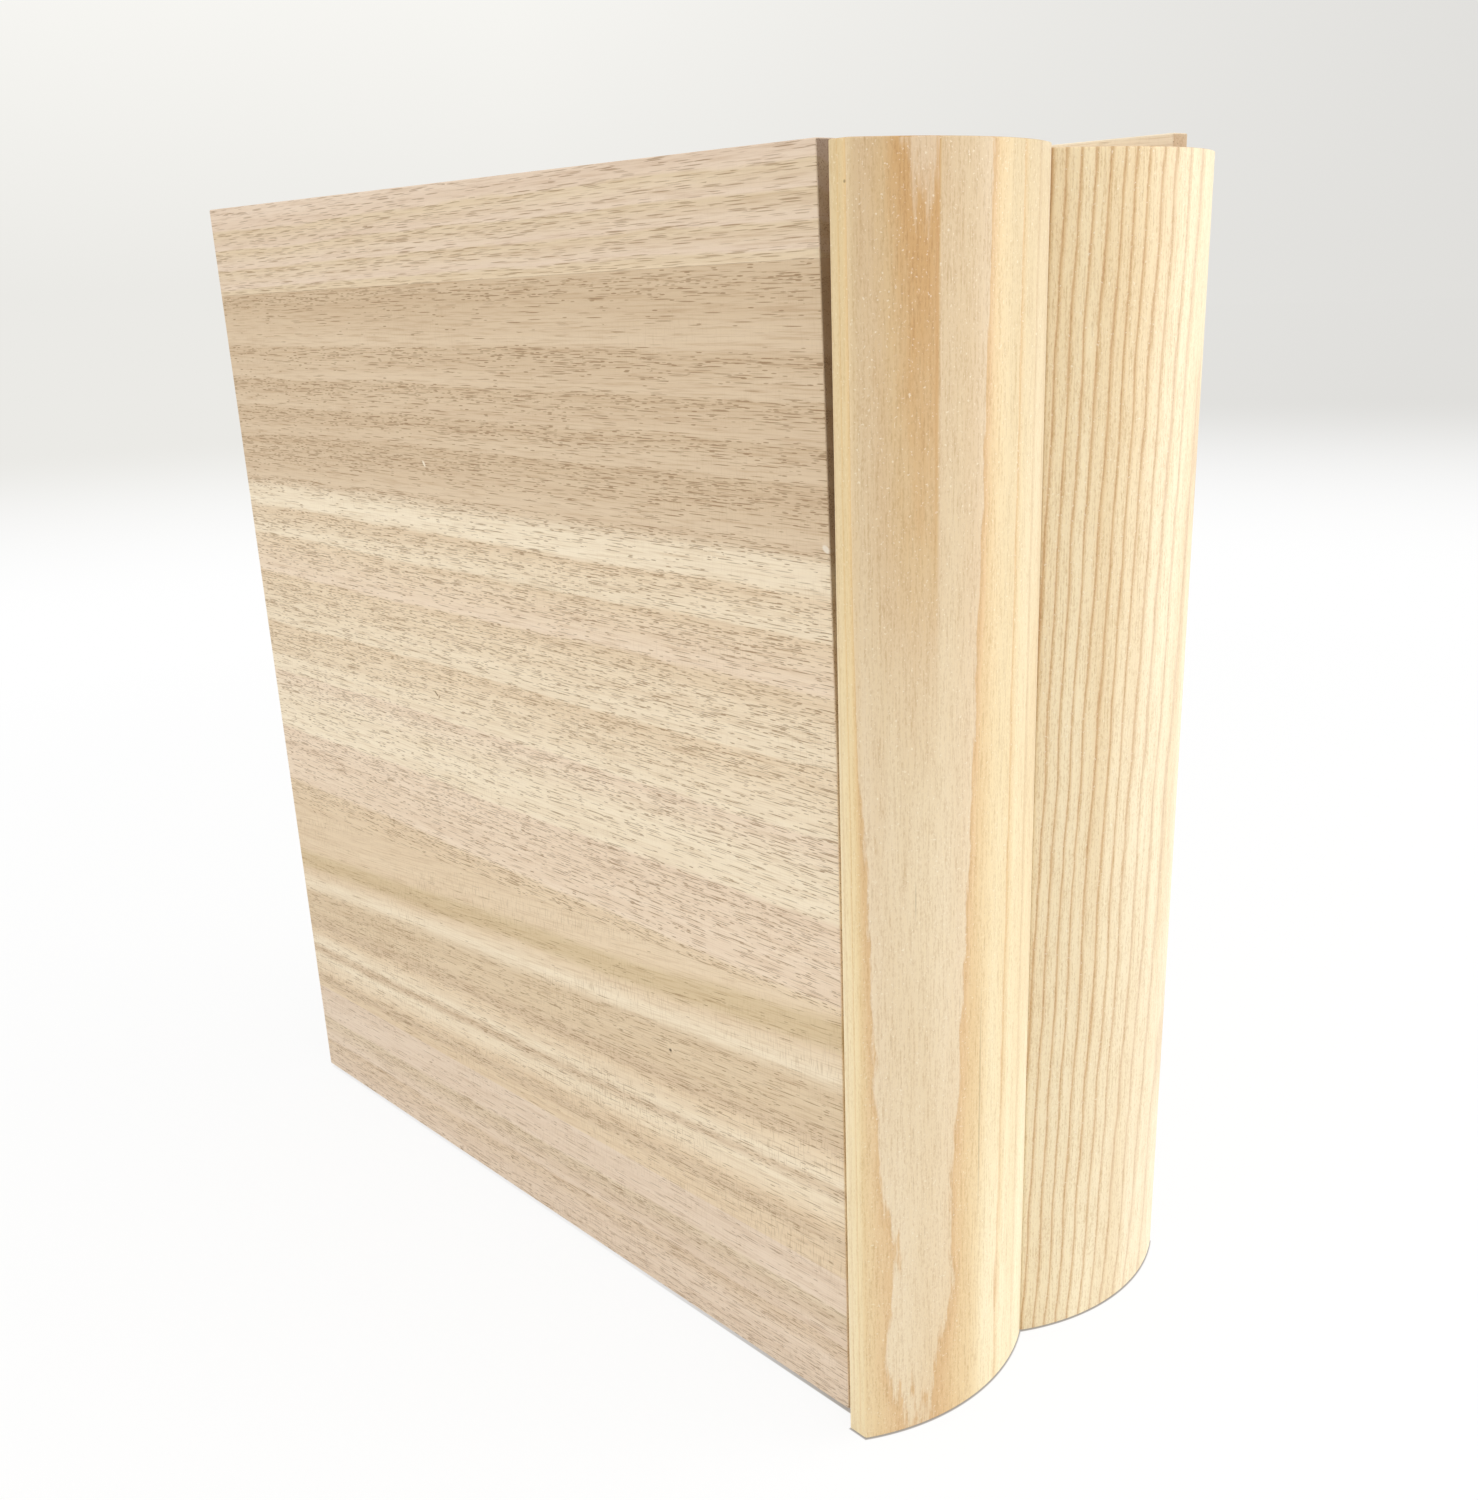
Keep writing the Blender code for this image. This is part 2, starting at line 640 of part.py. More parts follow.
def make_magnets(pivot, lid_staves, fore_edge_wall):
    """Two discs that face each other across the rim, halfway up the fore edge."""
    y = frame_rear_y - WALL_THICKNESS / 2
    z = frame_height / 2
    rows = (
        ("lid_magnet", lid_inner_x, -1, lid_staves),
        ("frame_magnet", rim_x, 1, [fore_edge_wall]),
    )
    for name, face_x, side, boards in rows:
        front = face_x + side * MAGNET_SINK
        rear = front + side * MAGNET_THICKNESS
        magnet = rod(name, MAGNET_RADIUS, (front, y, z), (rear, y, z), DISC_STEPS)
        finish(magnet, "#b9bbbd", NICKEL_ROUGHNESS, 1)
        pocket = as_cutter(rod(
            f"{name}_pocket", MAGNET_RADIUS + HOLE_CLEARANCE, (face_x - side * OVERRUN, y, z),
            (rear + side * HOLE_CLEARANCE, y, z), DISC_STEPS,
        ))
        for board in boards:
            cut(board, pocket)
        if side < 0:
            hang_on(pivot, magnet, pocket)


parts, cutters = start_scene()
make_spines()
lid = make_lid()
make_back_cover()
frame_walls = make_walls()
make_dividers(frame_walls)

lid_pivot = bpy.data.objects.new("lid_pivot", None)
lid_pivot.location = (axis_x, axis_y, 0)
parts.objects.link(lid_pivot)
hang_on(lid_pivot, *lid)
make_hinges(lid_pivot, lid, frame_walls["spine_wall"])
make_magnets(lid_pivot, lid, frame_walls["fore_edge_wall"])
bpy.context.view_layer.update()
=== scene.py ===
"""A small wooden box that stands like two books: two half-round spines and two thin covers.

Lengths are in metres and colours are sRGB hex. Wood patterns are worked out in millimetres.
"""

import math

import bmesh
import bpy
import numpy as np
from mathutils import Matrix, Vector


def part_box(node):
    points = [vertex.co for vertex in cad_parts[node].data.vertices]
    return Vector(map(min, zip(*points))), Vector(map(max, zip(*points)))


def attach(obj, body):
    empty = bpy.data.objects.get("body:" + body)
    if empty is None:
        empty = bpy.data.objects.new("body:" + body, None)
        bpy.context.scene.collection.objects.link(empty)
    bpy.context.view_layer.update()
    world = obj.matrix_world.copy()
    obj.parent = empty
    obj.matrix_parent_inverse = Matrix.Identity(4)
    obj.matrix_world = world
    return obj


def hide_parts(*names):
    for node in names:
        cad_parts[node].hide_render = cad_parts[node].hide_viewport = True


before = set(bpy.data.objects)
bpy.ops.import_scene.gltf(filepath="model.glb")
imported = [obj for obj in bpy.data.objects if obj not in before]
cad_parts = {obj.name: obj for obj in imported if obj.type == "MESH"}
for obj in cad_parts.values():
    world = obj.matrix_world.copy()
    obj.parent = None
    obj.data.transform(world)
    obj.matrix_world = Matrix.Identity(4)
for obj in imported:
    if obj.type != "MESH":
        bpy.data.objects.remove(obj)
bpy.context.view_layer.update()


# --- Camera
# The photograph was taken close up, from the left of the spines and near the height of their tops.
# Its place, tilt and focal length come from the box's edges in the 1478 x 1500 frame.

CAMERA_PLACE = (-0.213146, -0.264525, 0.201288)
CAMERA_TURN = (69.640, 2.207, -41.955)
LONG_SIDE_PX = 1500
FOCAL_PX = 1593.02
CENTRE_BELOW_MIDDLE_PX = 106.45
SENSOR_WIDTH_MM = 36

lens = bpy.data.cameras.new("photo_camera")
lens.sensor_fit = "AUTO"
lens.sensor_width = SENSOR_WIDTH_MM
lens.lens = SENSOR_WIDTH_MM * FOCAL_PX / LONG_SIDE_PX
lens.shift_y = CENTRE_BELOW_MIDDLE_PX / LONG_SIDE_PX
lens.clip_start = 0.01
camera = bpy.data.objects.new("photo_camera", lens)
camera.location = CAMERA_PLACE
camera.rotation_euler = [math.radians(angle) for angle in CAMERA_TURN]
bpy.context.scene.collection.objects.link(camera)
bpy.context.scene.camera = camera
bpy.context.scene.view_settings.view_transform = "Standard"


# --- Table and light
# A wide white paper sheet on a table, lit by soft daylight from all round and by three large lamps:
# one at the right of the spines, one at the left and one overhead. The paper is seen white near the
# box and turns to a painted pale grey shade far behind it, dimmer to the right, and a thin painted
# shadow marks the box's foot.

FLOOR_RADIUS = 6.0
FLOOR_RINGS = 12
FLOOR_SPOKES = 64
FLOOR_DROP = 0.0002
PAPER_COLOUR = "#fafaf8"
HORIZON_SHADE_COLOUR = "#ebeae6"
SKY_TOP_COLOUR = "#f8f7f3"
DIM_SIDE_COLOUR = "#e0dfdc"
PICTURE_RIGHT = (0.743, -0.669, 0.0)
DIM_SIDE_SPAN = (-0.12, 0.42)
SKY_TOP_HEIGHT = 0.16
WHITE_TO = 0.80
GREY_FROM = 2.1
SHADOW_SHARE = 0.12
SHADOW_REACH = (0.30, 0.65)
# painted contact shadow at the box's foot: its colour, its width, the y over which it fades, and
# its strength there
CONTACT_SHADOW_COLOUR = "#6f5f4a"
CONTACT_SHADOW_WIDTH = 0.00027
CONTACT_SHADOW_FADE_Y = (-0.092, -0.020)
CONTACT_SHADOW_STRENGTH = (0.75, 0.10)
COVERS_FOOT = (0.0412, 0.1000)
COVERS_FOOT_MIDDLE = (0.0, 0.0051, 0.0)
SPINE_FOOT_RADIUS = 0.04339
SPINE_FOOT_CENTRE = (0.02225, -0.06243, 0.0)
SPINE_FOOT_SIDE = 0.04435
SPINE_FOOT_BACK = -0.09578
AMBIENT_LEVEL = 0.66
# each lamp's name, its place, the side of its square in metres and its power in watts
LAMPS = (
    ("lamp_right", (0.75, -0.55, 0.30), 0.70, 3.6),
    ("lamp_left", (-0.85, 0.15, 0.45), 0.80, 2.1),
    ("lamp_overhead", (0.10, -0.35, 0.95), 0.80, 3.0),
)
LAMP_AIM = (0.0, -0.03, 0.10)


def linear(hex_code):
    """An sRGB hex colour as linear red, green, blue and alpha."""
    parts = [int(hex_code[i:i + 2], 16) / 255 for i in (1, 3, 5)]
    return [p / 12.92 if p <= 0.04045 else ((p + 0.055) / 1.055) ** 2.4 for p in parts] + [1]


def add_node(tree, kind, inputs=None, out=0, **settings):
    """Add a node, set its properties, link or set its inputs, and return one of its outputs."""
    node = tree.nodes.new("ShaderNode" + kind)
    for name, value in settings.items():
        setattr(node, name, value)
    for key, value in (inputs or {}).items():
        if isinstance(value, bpy.types.NodeSocket):
            tree.links.new(value, node.inputs[key])
        else:
            node.inputs[key].default_value = value
    return node.outputs[out] if node.outputs else node


def new_material(name):
    """A material with an empty node tree, and that tree."""
    material = bpy.data.materials.new(name)
    material.use_nodes = True
    material.node_tree.nodes.clear()
    return material, material.node_tree


def set_ramp(socket, stops, span):
    """Give a colour ramp its stops: (place, hex) or (place, hex, alpha), placed along a span."""
    ramp = socket.node.color_ramp
    low, high = span
    while len(ramp.elements) > 1:
        ramp.elements.remove(ramp.elements[-1])
    for i, (place, hex_code, *alpha) in enumerate(stops):
        at = min(max((place - low) / (high - low), 0), 1)
        element = ramp.elements[0] if i == 0 else ramp.elements.new(at)
        element.position = at
        element.color = linear(hex_code)[:3] + [alpha[0] if alpha else 1]
    return socket


def new_piece(name, vertices, faces, material=None):
    """An object from points and faces, with its faces turned outwards."""
    mesh = bpy.data.meshes.new(name)
    mesh.from_pydata(vertices.tolist(), [], faces)
    shape = bmesh.new()
    shape.from_mesh(mesh)
    bmesh.ops.recalc_face_normals(shape, faces=shape.faces)
    shape.to_mesh(mesh)
    shape.free()
    if material:
        mesh.materials.append(material)
    piece = bpy.data.objects.new(name, mesh)
    bpy.context.scene.collection.objects.link(piece)
    return piece


def wrap_faces(rows, columns):
    """The quads of a grid whose rows are closed loops."""
    row, column = np.meshgrid(np.arange(rows - 1), np.arange(columns), indexing="ij")
    after = (column + 1) % columns
    corners = (row * columns + column, row * columns + after,
               (row + 1) * columns + after, (row + 1) * columns + column)
    return np.stack(corners, axis=-1).reshape(-1, 4).tolist()


def floor_disc():
    """A flat disc in rings: each ring's radius grows with the square of its number."""
    share = np.linspace(0.02, 1, FLOOR_RINGS)
    radius = FLOOR_RADIUS * share ** 2
    angle = np.linspace(0, 2 * np.pi, FLOOR_SPOKES, endpoint=False)
    x = radius[:, None] * np.cos(angle)
    y = radius[:, None] * np.sin(angle)
    points = np.stack([x, y, np.full_like(x, -FLOOR_DROP)], axis=-1).reshape(-1, 3)
    return points, wrap_faces(FLOOR_RINGS, FLOOR_SPOKES) + [list(range(FLOOR_SPOKES))]


# what a node needs to mix two colours, plainly or by multiplying them
MIXED = {"out": 2, "data_type": "RGBA"}
MULTIPLIED = {**MIXED, "blend_type": "MULTIPLY"}


def dim_to_right(tree, colour, heading):
    """A colour that turns to DIM_SIDE_COLOUR as the heading turns to the right of the picture."""
    # painted shade: the backdrop dims toward the right of the picture
    to_right = add_node(tree, "VectorMath", {0: heading, 1: PICTURE_RIGHT}, out=1,
                        operation="DOT_PRODUCT")
    to_right = add_node(tree, "MapRange", {0: to_right, 1: DIM_SIDE_SPAN[0],
                                            2: DIM_SIDE_SPAN[1]})
    return add_node(tree, "Mix", {0: to_right, 6: colour, 7: linear(DIM_SIDE_COLOUR)}, **MIXED)


def white_paper():
    """Matt paper. The camera sees it mostly as its own colour, with a share of its true shading.

    A thin dark line of painted shadow shows where the box stands. It fades with the distance
    outside the covers, the length of max(|place| - half size, 0), or outside the spines: the
    largest of distance to a crown's centre - its radius, |x| - side, and y - back. It is faint away
    from the hinges. It is painted for the closed box's foot and does not move with the lid.
    """
    material, tree = new_material("matt_white_paper")
    place = add_node(tree, "TexCoord", out=3)
    distance = add_node(tree, "VectorMath", {0: place}, out=1, operation="LENGTH")
    # painted shade: the paper is seen turning from white near the box to grey far off, dimmer to
    # the right
    share = add_node(tree, "MapRange", {0: distance, 1: WHITE_TO, 2: GREY_FROM},
                     interpolation_type="SMOOTHSTEP")
    heading = add_node(tree, "VectorMath", {0: place}, operation="NORMALIZE")
    grey = dim_to_right(tree, linear(HORIZON_SHADE_COLOUR), heading)
    shown = add_node(tree, "Mix", {0: share, 6: linear("#ffffff"), 7: grey}, **MIXED)

    covers = add_node(tree, "VectorMath", {0: place, 1: COVERS_FOOT_MIDDLE}, operation="SUBTRACT")
    covers = add_node(tree, "VectorMath", {0: covers}, operation="ABSOLUTE")
    covers = add_node(tree, "VectorMath", {0: covers, 1: COVERS_FOOT + (1.0,)},
                      operation="SUBTRACT")
    covers = add_node(tree, "VectorMath", {0: covers, 1: (0, 0, 0)}, operation="MAXIMUM")
    covers = add_node(tree, "VectorMath", {0: covers}, out=1, operation="LENGTH")
    x, y, _ = add_node(tree, "SeparateXYZ", {0: place}).node.outputs
    x = add_node(tree, "Math", {0: x}, operation="ABSOLUTE")
    spines = add_node(tree, "CombineXYZ", {0: x, 1: y})
    spines = add_node(tree, "VectorMath", {0: spines, 1: SPINE_FOOT_CENTRE}, out=1,
                      operation="DISTANCE")
    spines = add_node(tree, "Math", {0: spines, 1: SPINE_FOOT_RADIUS}, operation="SUBTRACT")
    for place, edge in ((x, SPINE_FOOT_SIDE), (y, SPINE_FOOT_BACK)):
        outside = add_node(tree, "Math", {0: place, 1: edge}, operation="SUBTRACT")
        spines = add_node(tree, "Math", {0: spines, 1: outside}, operation="MAXIMUM")
    beside = add_node(tree, "Math", {0: covers, 1: spines}, operation="MINIMUM")
    # painted contact shadow: full at the foot, gone at its width out, strongest near the hinges
    line = add_node(tree, "MapRange", {0: beside, 1: 0, 2: CONTACT_SHADOW_WIDTH, 3: 1, 4: 0})
    strength = add_node(tree, "MapRange", {0: y, 1: CONTACT_SHADOW_FADE_Y[0], 2: CONTACT_SHADOW_FADE_Y[1],
                                           3: CONTACT_SHADOW_STRENGTH[0], 4: CONTACT_SHADOW_STRENGTH[1]})
    line = add_node(tree, "Math", {0: line, 1: strength}, operation="MULTIPLY")
    shown = add_node(tree, "Mix", {0: line, 6: shown, 7: linear(CONTACT_SHADOW_COLOUR)}, **MIXED)

    glow = add_node(tree, "Emission", {0: shown, 1: 1.0})
    matt = add_node(tree, "BsdfDiffuse", {0: linear(PAPER_COLOUR)})
    path = add_node(tree, "LightPath").node
    own = add_node(tree, "MapRange", {0: distance, 1: SHADOW_REACH[0], 2: SHADOW_REACH[1],
                                      3: 1 - SHADOW_SHARE, 4: 1})
    amount = add_node(tree, "Math", {0: path.outputs["Is Camera Ray"], 1: own},
                      operation="MULTIPLY")
    surface = add_node(tree, "MixShader", {0: amount, 1: matt, 2: glow})
    add_node(tree, "OutputMaterial", {0: surface})
    return material


new_piece("paper_table", *floor_disc(), white_paper())

world = bpy.data.worlds.new("daylight_room")
world.use_nodes = True
bpy.context.scene.world = world
sky = world.node_tree
sky.nodes.clear()
sky_direction = add_node(sky, "TexCoord", out=0)
sky_height = add_node(sky, "SeparateXYZ", {0: sky_direction}, out=2)
# painted shade in the sky seen behind the box: grey at the horizon, paler above, dimmer to the
# right
seen_sky = set_ramp(add_node(sky, "ValToRGB", {0: sky_height}),
                    ((0, HORIZON_SHADE_COLOUR), (SKY_TOP_HEIGHT, SKY_TOP_COLOUR)), (0, 1))
seen_sky = dim_to_right(sky, seen_sky, sky_direction)
sky_path = add_node(sky, "LightPath").node
sky_seen = add_node(sky, "Math", {0: sky_path.outputs["Is Camera Ray"],
                                  1: sky_path.outputs["Is Glossy Ray"]}, operation="MAXIMUM")
light_from_sky = add_node(sky, "Background", {0: linear("#ffffff"), 1: AMBIENT_LEVEL})
sky_to_see = add_node(sky, "Background", {0: seen_sky, 1: 1.0})
add_node(sky, "OutputWorld",
         {0: add_node(sky, "MixShader", {0: sky_seen, 1: light_from_sky, 2: sky_to_see})})

for lamp_name, lamp_place, lamp_size, lamp_power in LAMPS:
    lamp = bpy.data.lights.new(lamp_name, "AREA")
    lamp.shape = "SQUARE"
    lamp.size = lamp_size
    lamp.energy = lamp_power
    lamp_object = bpy.data.objects.new(lamp_name, lamp)
    lamp_object.location = lamp_place
    aim = np.subtract(LAMP_AIM, lamp_place)
    lamp_object.rotation_euler = (
        math.acos(aim[2] / math.dist(LAMP_AIM, lamp_place)) - math.pi,
        0,
        math.atan2(aim[1], aim[0]) + math.pi / 2,
    )
    lamp_object.visible_camera = False
    bpy.context.scene.collection.objects.link(lamp_object)


# --- Spines
# Two lengths of half-round pine moulding, planed, cut square and left bare. They are glued to the
# outside of the frame side by side, and the right one is cut a little short.

SPINE_EDGE = 0.0040
SPINE_RISE = 0.00605
SPINE_ARRIS = 0.00035
END_ARRIS = 0.00025
CROWN_POINTS = 73
CORNER_STEPS = np.linspace(0, 1, 5)


def half_round_outline(low, high):
    """The moulding's section: a flat back, two short straight edges, and an arc of a circle.

    The arc's radius is (half width squared + rise squared) / (2 x rise). Each corner is a short
    curve that leaves one side and joins the next, both at one arris from where they would meet.
    """
    half = (high.x - low.x) / 2
    radius = (half ** 2 + SPINE_RISE ** 2) / (2 * SPINE_RISE)
    reach = math.asin(half / radius)
    angle = np.linspace(-reach, reach, CROWN_POINTS)
    arc = np.stack([
        (low.x + high.x) / 2 + radius * np.sin(angle),
        high.y - SPINE_EDGE + radius * math.cos(reach) - radius * np.cos(angle),
    ], axis=-1)
    trim = int(math.ceil(SPINE_ARRIS / (radius * 2 * reach / CROWN_POINTS)))
    sides = [np.array([[high.x, high.y - SPINE_ARRIS]]), np.array([[low.x, high.y - SPINE_ARRIS]])]
    corners = (
        (arc[-1 - trim], arc[-1], arc[-1] + (0, SPINE_ARRIS)),
        (sides[0][0], (high.x, high.y), (high.x - SPINE_ARRIS, high.y)),
        ((low.x + SPINE_ARRIS, high.y), (low.x, high.y), sides[1][0]),
        (arc[0] + (0, SPINE_ARRIS), arc[0], arc[trim]),
    )
    t = CORNER_STEPS[:, None]
    eased = [(1 - t) ** 2 * np.array(a) + 2 * t * (1 - t) * np.array(b) + t ** 2 * np.array(c)
             for a, b, c in corners]
    return np.concatenate([arc[trim + 1:-1 - trim], *eased])


def carry_outline(outline, low_z, high_z, ease):
    """Carry a closed outline up from low_z to high_z, drawn in at both ends by a quarter round.

    Point = outline point - normal x ease x (1 - sin a), at a height of ease x (1 - cos a) from
    the end, for a from 0 to a right angle.
    """
    tangent = np.roll(outline, -1, axis=0) - np.roll(outline, 1, axis=0)
    normal = np.stack([tangent[:, 1], -tangent[:, 0]], axis=-1)
    normal /= np.linalg.norm(normal, axis=1, keepdims=True)
    area = np.sum(outline[:, 0] * np.roll(outline[:, 1], -1)
                  - np.roll(outline[:, 0], -1) * outline[:, 1])
    normal *= np.sign(area)
    a = np.linspace(0, np.pi / 2, len(CORNER_STEPS))
    inset = np.concatenate([ease * (1 - np.sin(a)), (ease * (1 - np.sin(a)))[::-1]])
    height = np.concatenate([low_z + ease * (1 - np.cos(a)),
                             (high_z - ease * (1 - np.cos(a)))[::-1]])
    flat = outline[None] - normal[None] * inset[:, None, None]
    points = np.concatenate(
        [flat, np.broadcast_to(height[:, None, None], flat.shape[:2] + (1,))], axis=-1)
    rows, columns = flat.shape[:2]
    caps = [list(range(columns)), list(range((rows - 1) * columns, rows * columns))]
    return points.reshape(-1, 3), wrap_faces(rows, columns) + caps


def smooth_by_angle(piece, degrees=30):
    """Shade a piece smooth, with edges sharper than the angle kept crisp."""
    mesh = piece.data
    mesh.polygons.foreach_set("use_smooth", np.ones(len(mesh.polygons), bool))
    mesh.set_sharp_from_angle(angle=math.radians(degrees))
    return piece


MM = 1000.0
# Noises in planed pine: how far their spots reach across and along the grain, in mm, then how much
# finer detail they hold and how rough it is. Real fibres are about 0.03 mm wide and the cut cells
# that make the grit are no wider, so both are drawn about ten times coarser to show.
PINE_NOISES = {
    "swing": (34.0, 24.0, 1.5, 0.5),
    "fray": (1.3, 9.0, 3.0, 0.65),
    "uneven": (5.0, 160.0, 0.0, 0.5),
    "cloud": (9.0, 120.0, 3.0, 0.5),
    "fibre": (0.32, 7.0, 3.0, 0.65),
    "grit": (0.30, 0.75, 2.0, 0.7),
}
PINE_CLOUD_TONES = ((0.32, "#f3ebe0"), (0.62, "#ffffff"))
PINE_FIBRE_LIGHTS = ((0.52, "#ffffff"), (0.66, "#fffdf6"))
PINE_TICK_MM, PINE_TICK_SHARE, PINE_TICK_COLOUR = (0.55, 5.5), 0.07, "#a98355"
# pale specks of raised fibre, painted as glints of light: their size in mm and their colour
PINE_FUZZ_GLINT_MM, PINE_FUZZ_GLINT_COLOUR = 0.42, "#fff6e4"
PINE_RELIEF = 0.00016
CHECK_BLUR_MM = 0.25


def around(tree, mm, place, half_width, half_height):
    """How far each point lies from a place in mm: 1 at half the width or half the height."""
    gap = add_node(tree, "VectorMath", {0: mm, 1: place}, operation="SUBTRACT")
    gap = add_node(tree, "Mapping", {0: gap, "Scale": (
        1 / half_width, 1 / half_width, 1 / half_height)})
    return add_node(tree, "VectorMath", {0: gap}, out=1, operation="LENGTH")


def pine(name, pith, lean, rings, repeat=None, swing=0.1, fray=0.1, uneven=0.0, pale=None,
         check=None, bumps=(), fades=(), grain="Z", marks=(), shade="#e6dac9", ends="#cfa673"):
    """Planed pine: growth rings are cylinders round the log's pith, cut by the piece's surface.

    Bare and freshly planed, it is pale and warm, with a soft sheen on the fibres and none of
    varnish. Late wood shows as thin orange lines or, cut flat, as long tongues with frayed edges.

    Ring radius = distance from a pith line through (x, y) in mm that leans by (x, y) per mm of
    height + the third lean value per mm, plus a slow swing, an unevenness from ring to ring and a
    fine fray. The ramp of rings gives the colour at each radius; with repeat, they come round
    again at that width. A pale wash of painted light, for the side the lamp lights, takes over from
    one radius to another. A check is a plane x where the rings on its low side jump out by an
    amount, from one height to another, and a bump swells them by an amount round a place. A fade
    is painted light and shade: it changes the colour from one height to another, as far as the
    ramp's alpha lets it.
    """
    material, tree = new_material(name)
    coordinate = add_node(tree, "TexCoord").node
    turned = {"Z": (0, 0, 0), "Y": (math.pi / 2, 0, 0), "X": (0, -math.pi / 2, 0)}[grain]
    mm = add_node(tree, "Mapping", {0: coordinate.outputs["Object"], "Rotation": turned,
                                    "Scale": (MM, MM, MM)})
    face = add_node(tree, "Mapping", {0: coordinate.outputs["Normal"], "Rotation": turned})
    x, y, z = add_node(tree, "SeparateXYZ", {0: mm}).node.outputs

    noise = {}
    for use, (across, along, detail, rough) in PINE_NOISES.items():
        place = add_node(tree, "Mapping", {0: mm, "Scale": (1 / across, 1 / across, 1 / along)})
        noise[use] = add_node(tree, "TexNoise", {
            0: place, "Scale": 1.0, "Detail": detail, "Roughness": rough})

    # slow swing of the rings, one that frays their edges into long splinters, and uneven widths
    wander = 0
    for use, reach in (("swing", swing), ("fray", fray), ("uneven", uneven)):
        part = add_node(tree, "Math", {0: noise[use], 1: 2 * reach, 2: -reach},
                        operation="MULTIPLY_ADD")
        wander = add_node(tree, "Math", {0: wander, 1: part}, operation="ADD")
    shrink = add_node(tree, "Math", {0: z, 1: lean[2], 2: wander}, operation="MULTIPLY_ADD")
    spoke = {}
    for axis, place in enumerate((x, y)):
        gap = add_node(tree, "Math", {0: z, 1: -lean[axis], 2: place}, operation="MULTIPLY_ADD")
        spoke[axis] = add_node(tree, "Math", {0: gap, 1: pith[axis]}, operation="SUBTRACT")
    spoke = add_node(tree, "CombineXYZ", spoke)
    radius = add_node(tree, "VectorMath", {0: spoke}, out=1, operation="LENGTH")
    radius = add_node(tree, "Math", {0: radius, 1: shrink}, operation="ADD")
    if check:
        side = add_node(tree, "MapRange", {0: x, 1: check[0] - CHECK_BLUR_MM,
                                           2: check[0] + CHECK_BLUR_MM, 3: check[1], 4: 0})
        jump = add_node(tree, "MapRange", {0: z, 1: check[2], 2: check[3]})
        radius = add_node(tree, "Math", {0: side, 1: jump, 2: radius}, operation="MULTIPLY_ADD")
    for place, half_width, half_height, swell in bumps:
        near = around(tree, mm, place, half_width, half_height)
        near = add_node(tree, "MapRange", {0: near, 3: swell, 4: 0},
                        interpolation_type="SMOOTHSTEP")
        radius = add_node(tree, "Math", {0: radius, 1: near}, operation="ADD")
    low, high = (0, repeat) if repeat else (rings[0][0], rings[-1][0])
    in_ring = radius
    if repeat:
        in_ring = add_node(tree, "Math", {0: radius, 1: repeat}, operation="FLOORED_MODULO")
    along_ramp = add_node(tree, "MapRange", {0: in_ring, 1: low, 2: high})
    ramp = set_ramp(add_node(tree, "ValToRGB", {0: along_ramp}), rings, (low, high)).node
    wood = ramp.outputs["Color"]
    # painted light and shade: each fade turns the colour toward its own by height
    for start, full, strength, colour, blend in fades:
        amount = add_node(tree, "MapRange", {0: z, 1: start, 2: full, 3: 0, 4: strength})
        amount = add_node(tree, "Math", {0: amount, 1: ramp.outputs["Alpha"]},
                          operation="MULTIPLY")
        wood = add_node(tree, "Mix", {0: amount, 6: wood, 7: linear(colour)}, **MIXED,
                        blend_type=blend)
    # painted light: a pale wash over the lamp-lit side, laid by ring radius
    if pale:
        amount = add_node(tree, "MapRange", {0: radius, 1: pale[0], 2: pale[1], 3: 0, 4: pale[2]})
        wood = add_node(tree, "Mix", {0: amount, 6: wood, 7: linear(pale[3])}, **MIXED)

    # clouds of warmer wood, long fibres and a fine grit of cut cells
    cloud = set_ramp(add_node(tree, "ValToRGB", {0: noise["cloud"]}), PINE_CLOUD_TONES, (0, 1))
    wood = add_node(tree, "Mix", {0: 0.8, 6: wood, 7: cloud}, **MULTIPLIED)
    fibre = add_node(tree, "Mix", {0: 0.45, 2: noise["fibre"], 3: noise["grit"]}, out=0)
    fibre_colour = set_ramp(add_node(tree, "ValToRGB", {0: fibre}),
                            ((0.36, shade), *PINE_FIBRE_LIGHTS), (0, 1))
    wood = add_node(tree, "Mix", {0: 0.75, 6: wood, 7: fibre_colour}, **MULTIPLIED)

    # a few short dark resin ticks, and pale specks of raised fibre that the plane left, painted as
    # glints of light
    across, along = PINE_TICK_MM
    tick = add_node(tree, "Mapping", {0: mm, "Scale": (1 / across, 1 / across, 1 / along)})
    tick = add_node(tree, "TexVoronoi", {0: tick, "Scale": 1.0}).node
    rare = add_node(tree, "SeparateColor", {0: tick.outputs["Color"]})
    rare = add_node(tree, "Math", {0: rare, 1: 1 - PINE_TICK_SHARE}, operation="GREATER_THAN")
    thin = add_node(tree, "MapRange", {0: tick.outputs["Distance"], 1: 0.16, 2: 0.30, 3: 1, 4: 0})
    ticks = add_node(tree, "Math", {0: rare, 1: thin}, operation="MULTIPLY")
    ticks = add_node(tree, "Math", {0: ticks, 1: 0.20}, operation="MULTIPLY")
    wood = add_node(tree, "Mix", {0: ticks, 6: wood, 7: linear(PINE_TICK_COLOUR)}, **MIXED)
    fuzz_glint = add_node(tree, "TexNoise", {0: mm, "Scale": 1 / PINE_FUZZ_GLINT_MM, "Detail": 1.0})
    fuzz_glint = add_node(tree, "MapRange", {0: fuzz_glint, 1: 0.66, 2: 0.76, 3: 0, 4: 0.45})
    wood = add_node(tree, "Mix", {0: fuzz_glint, 6: wood, 7: linear(PINE_FUZZ_GLINT_COLOUR)}, **MIXED)

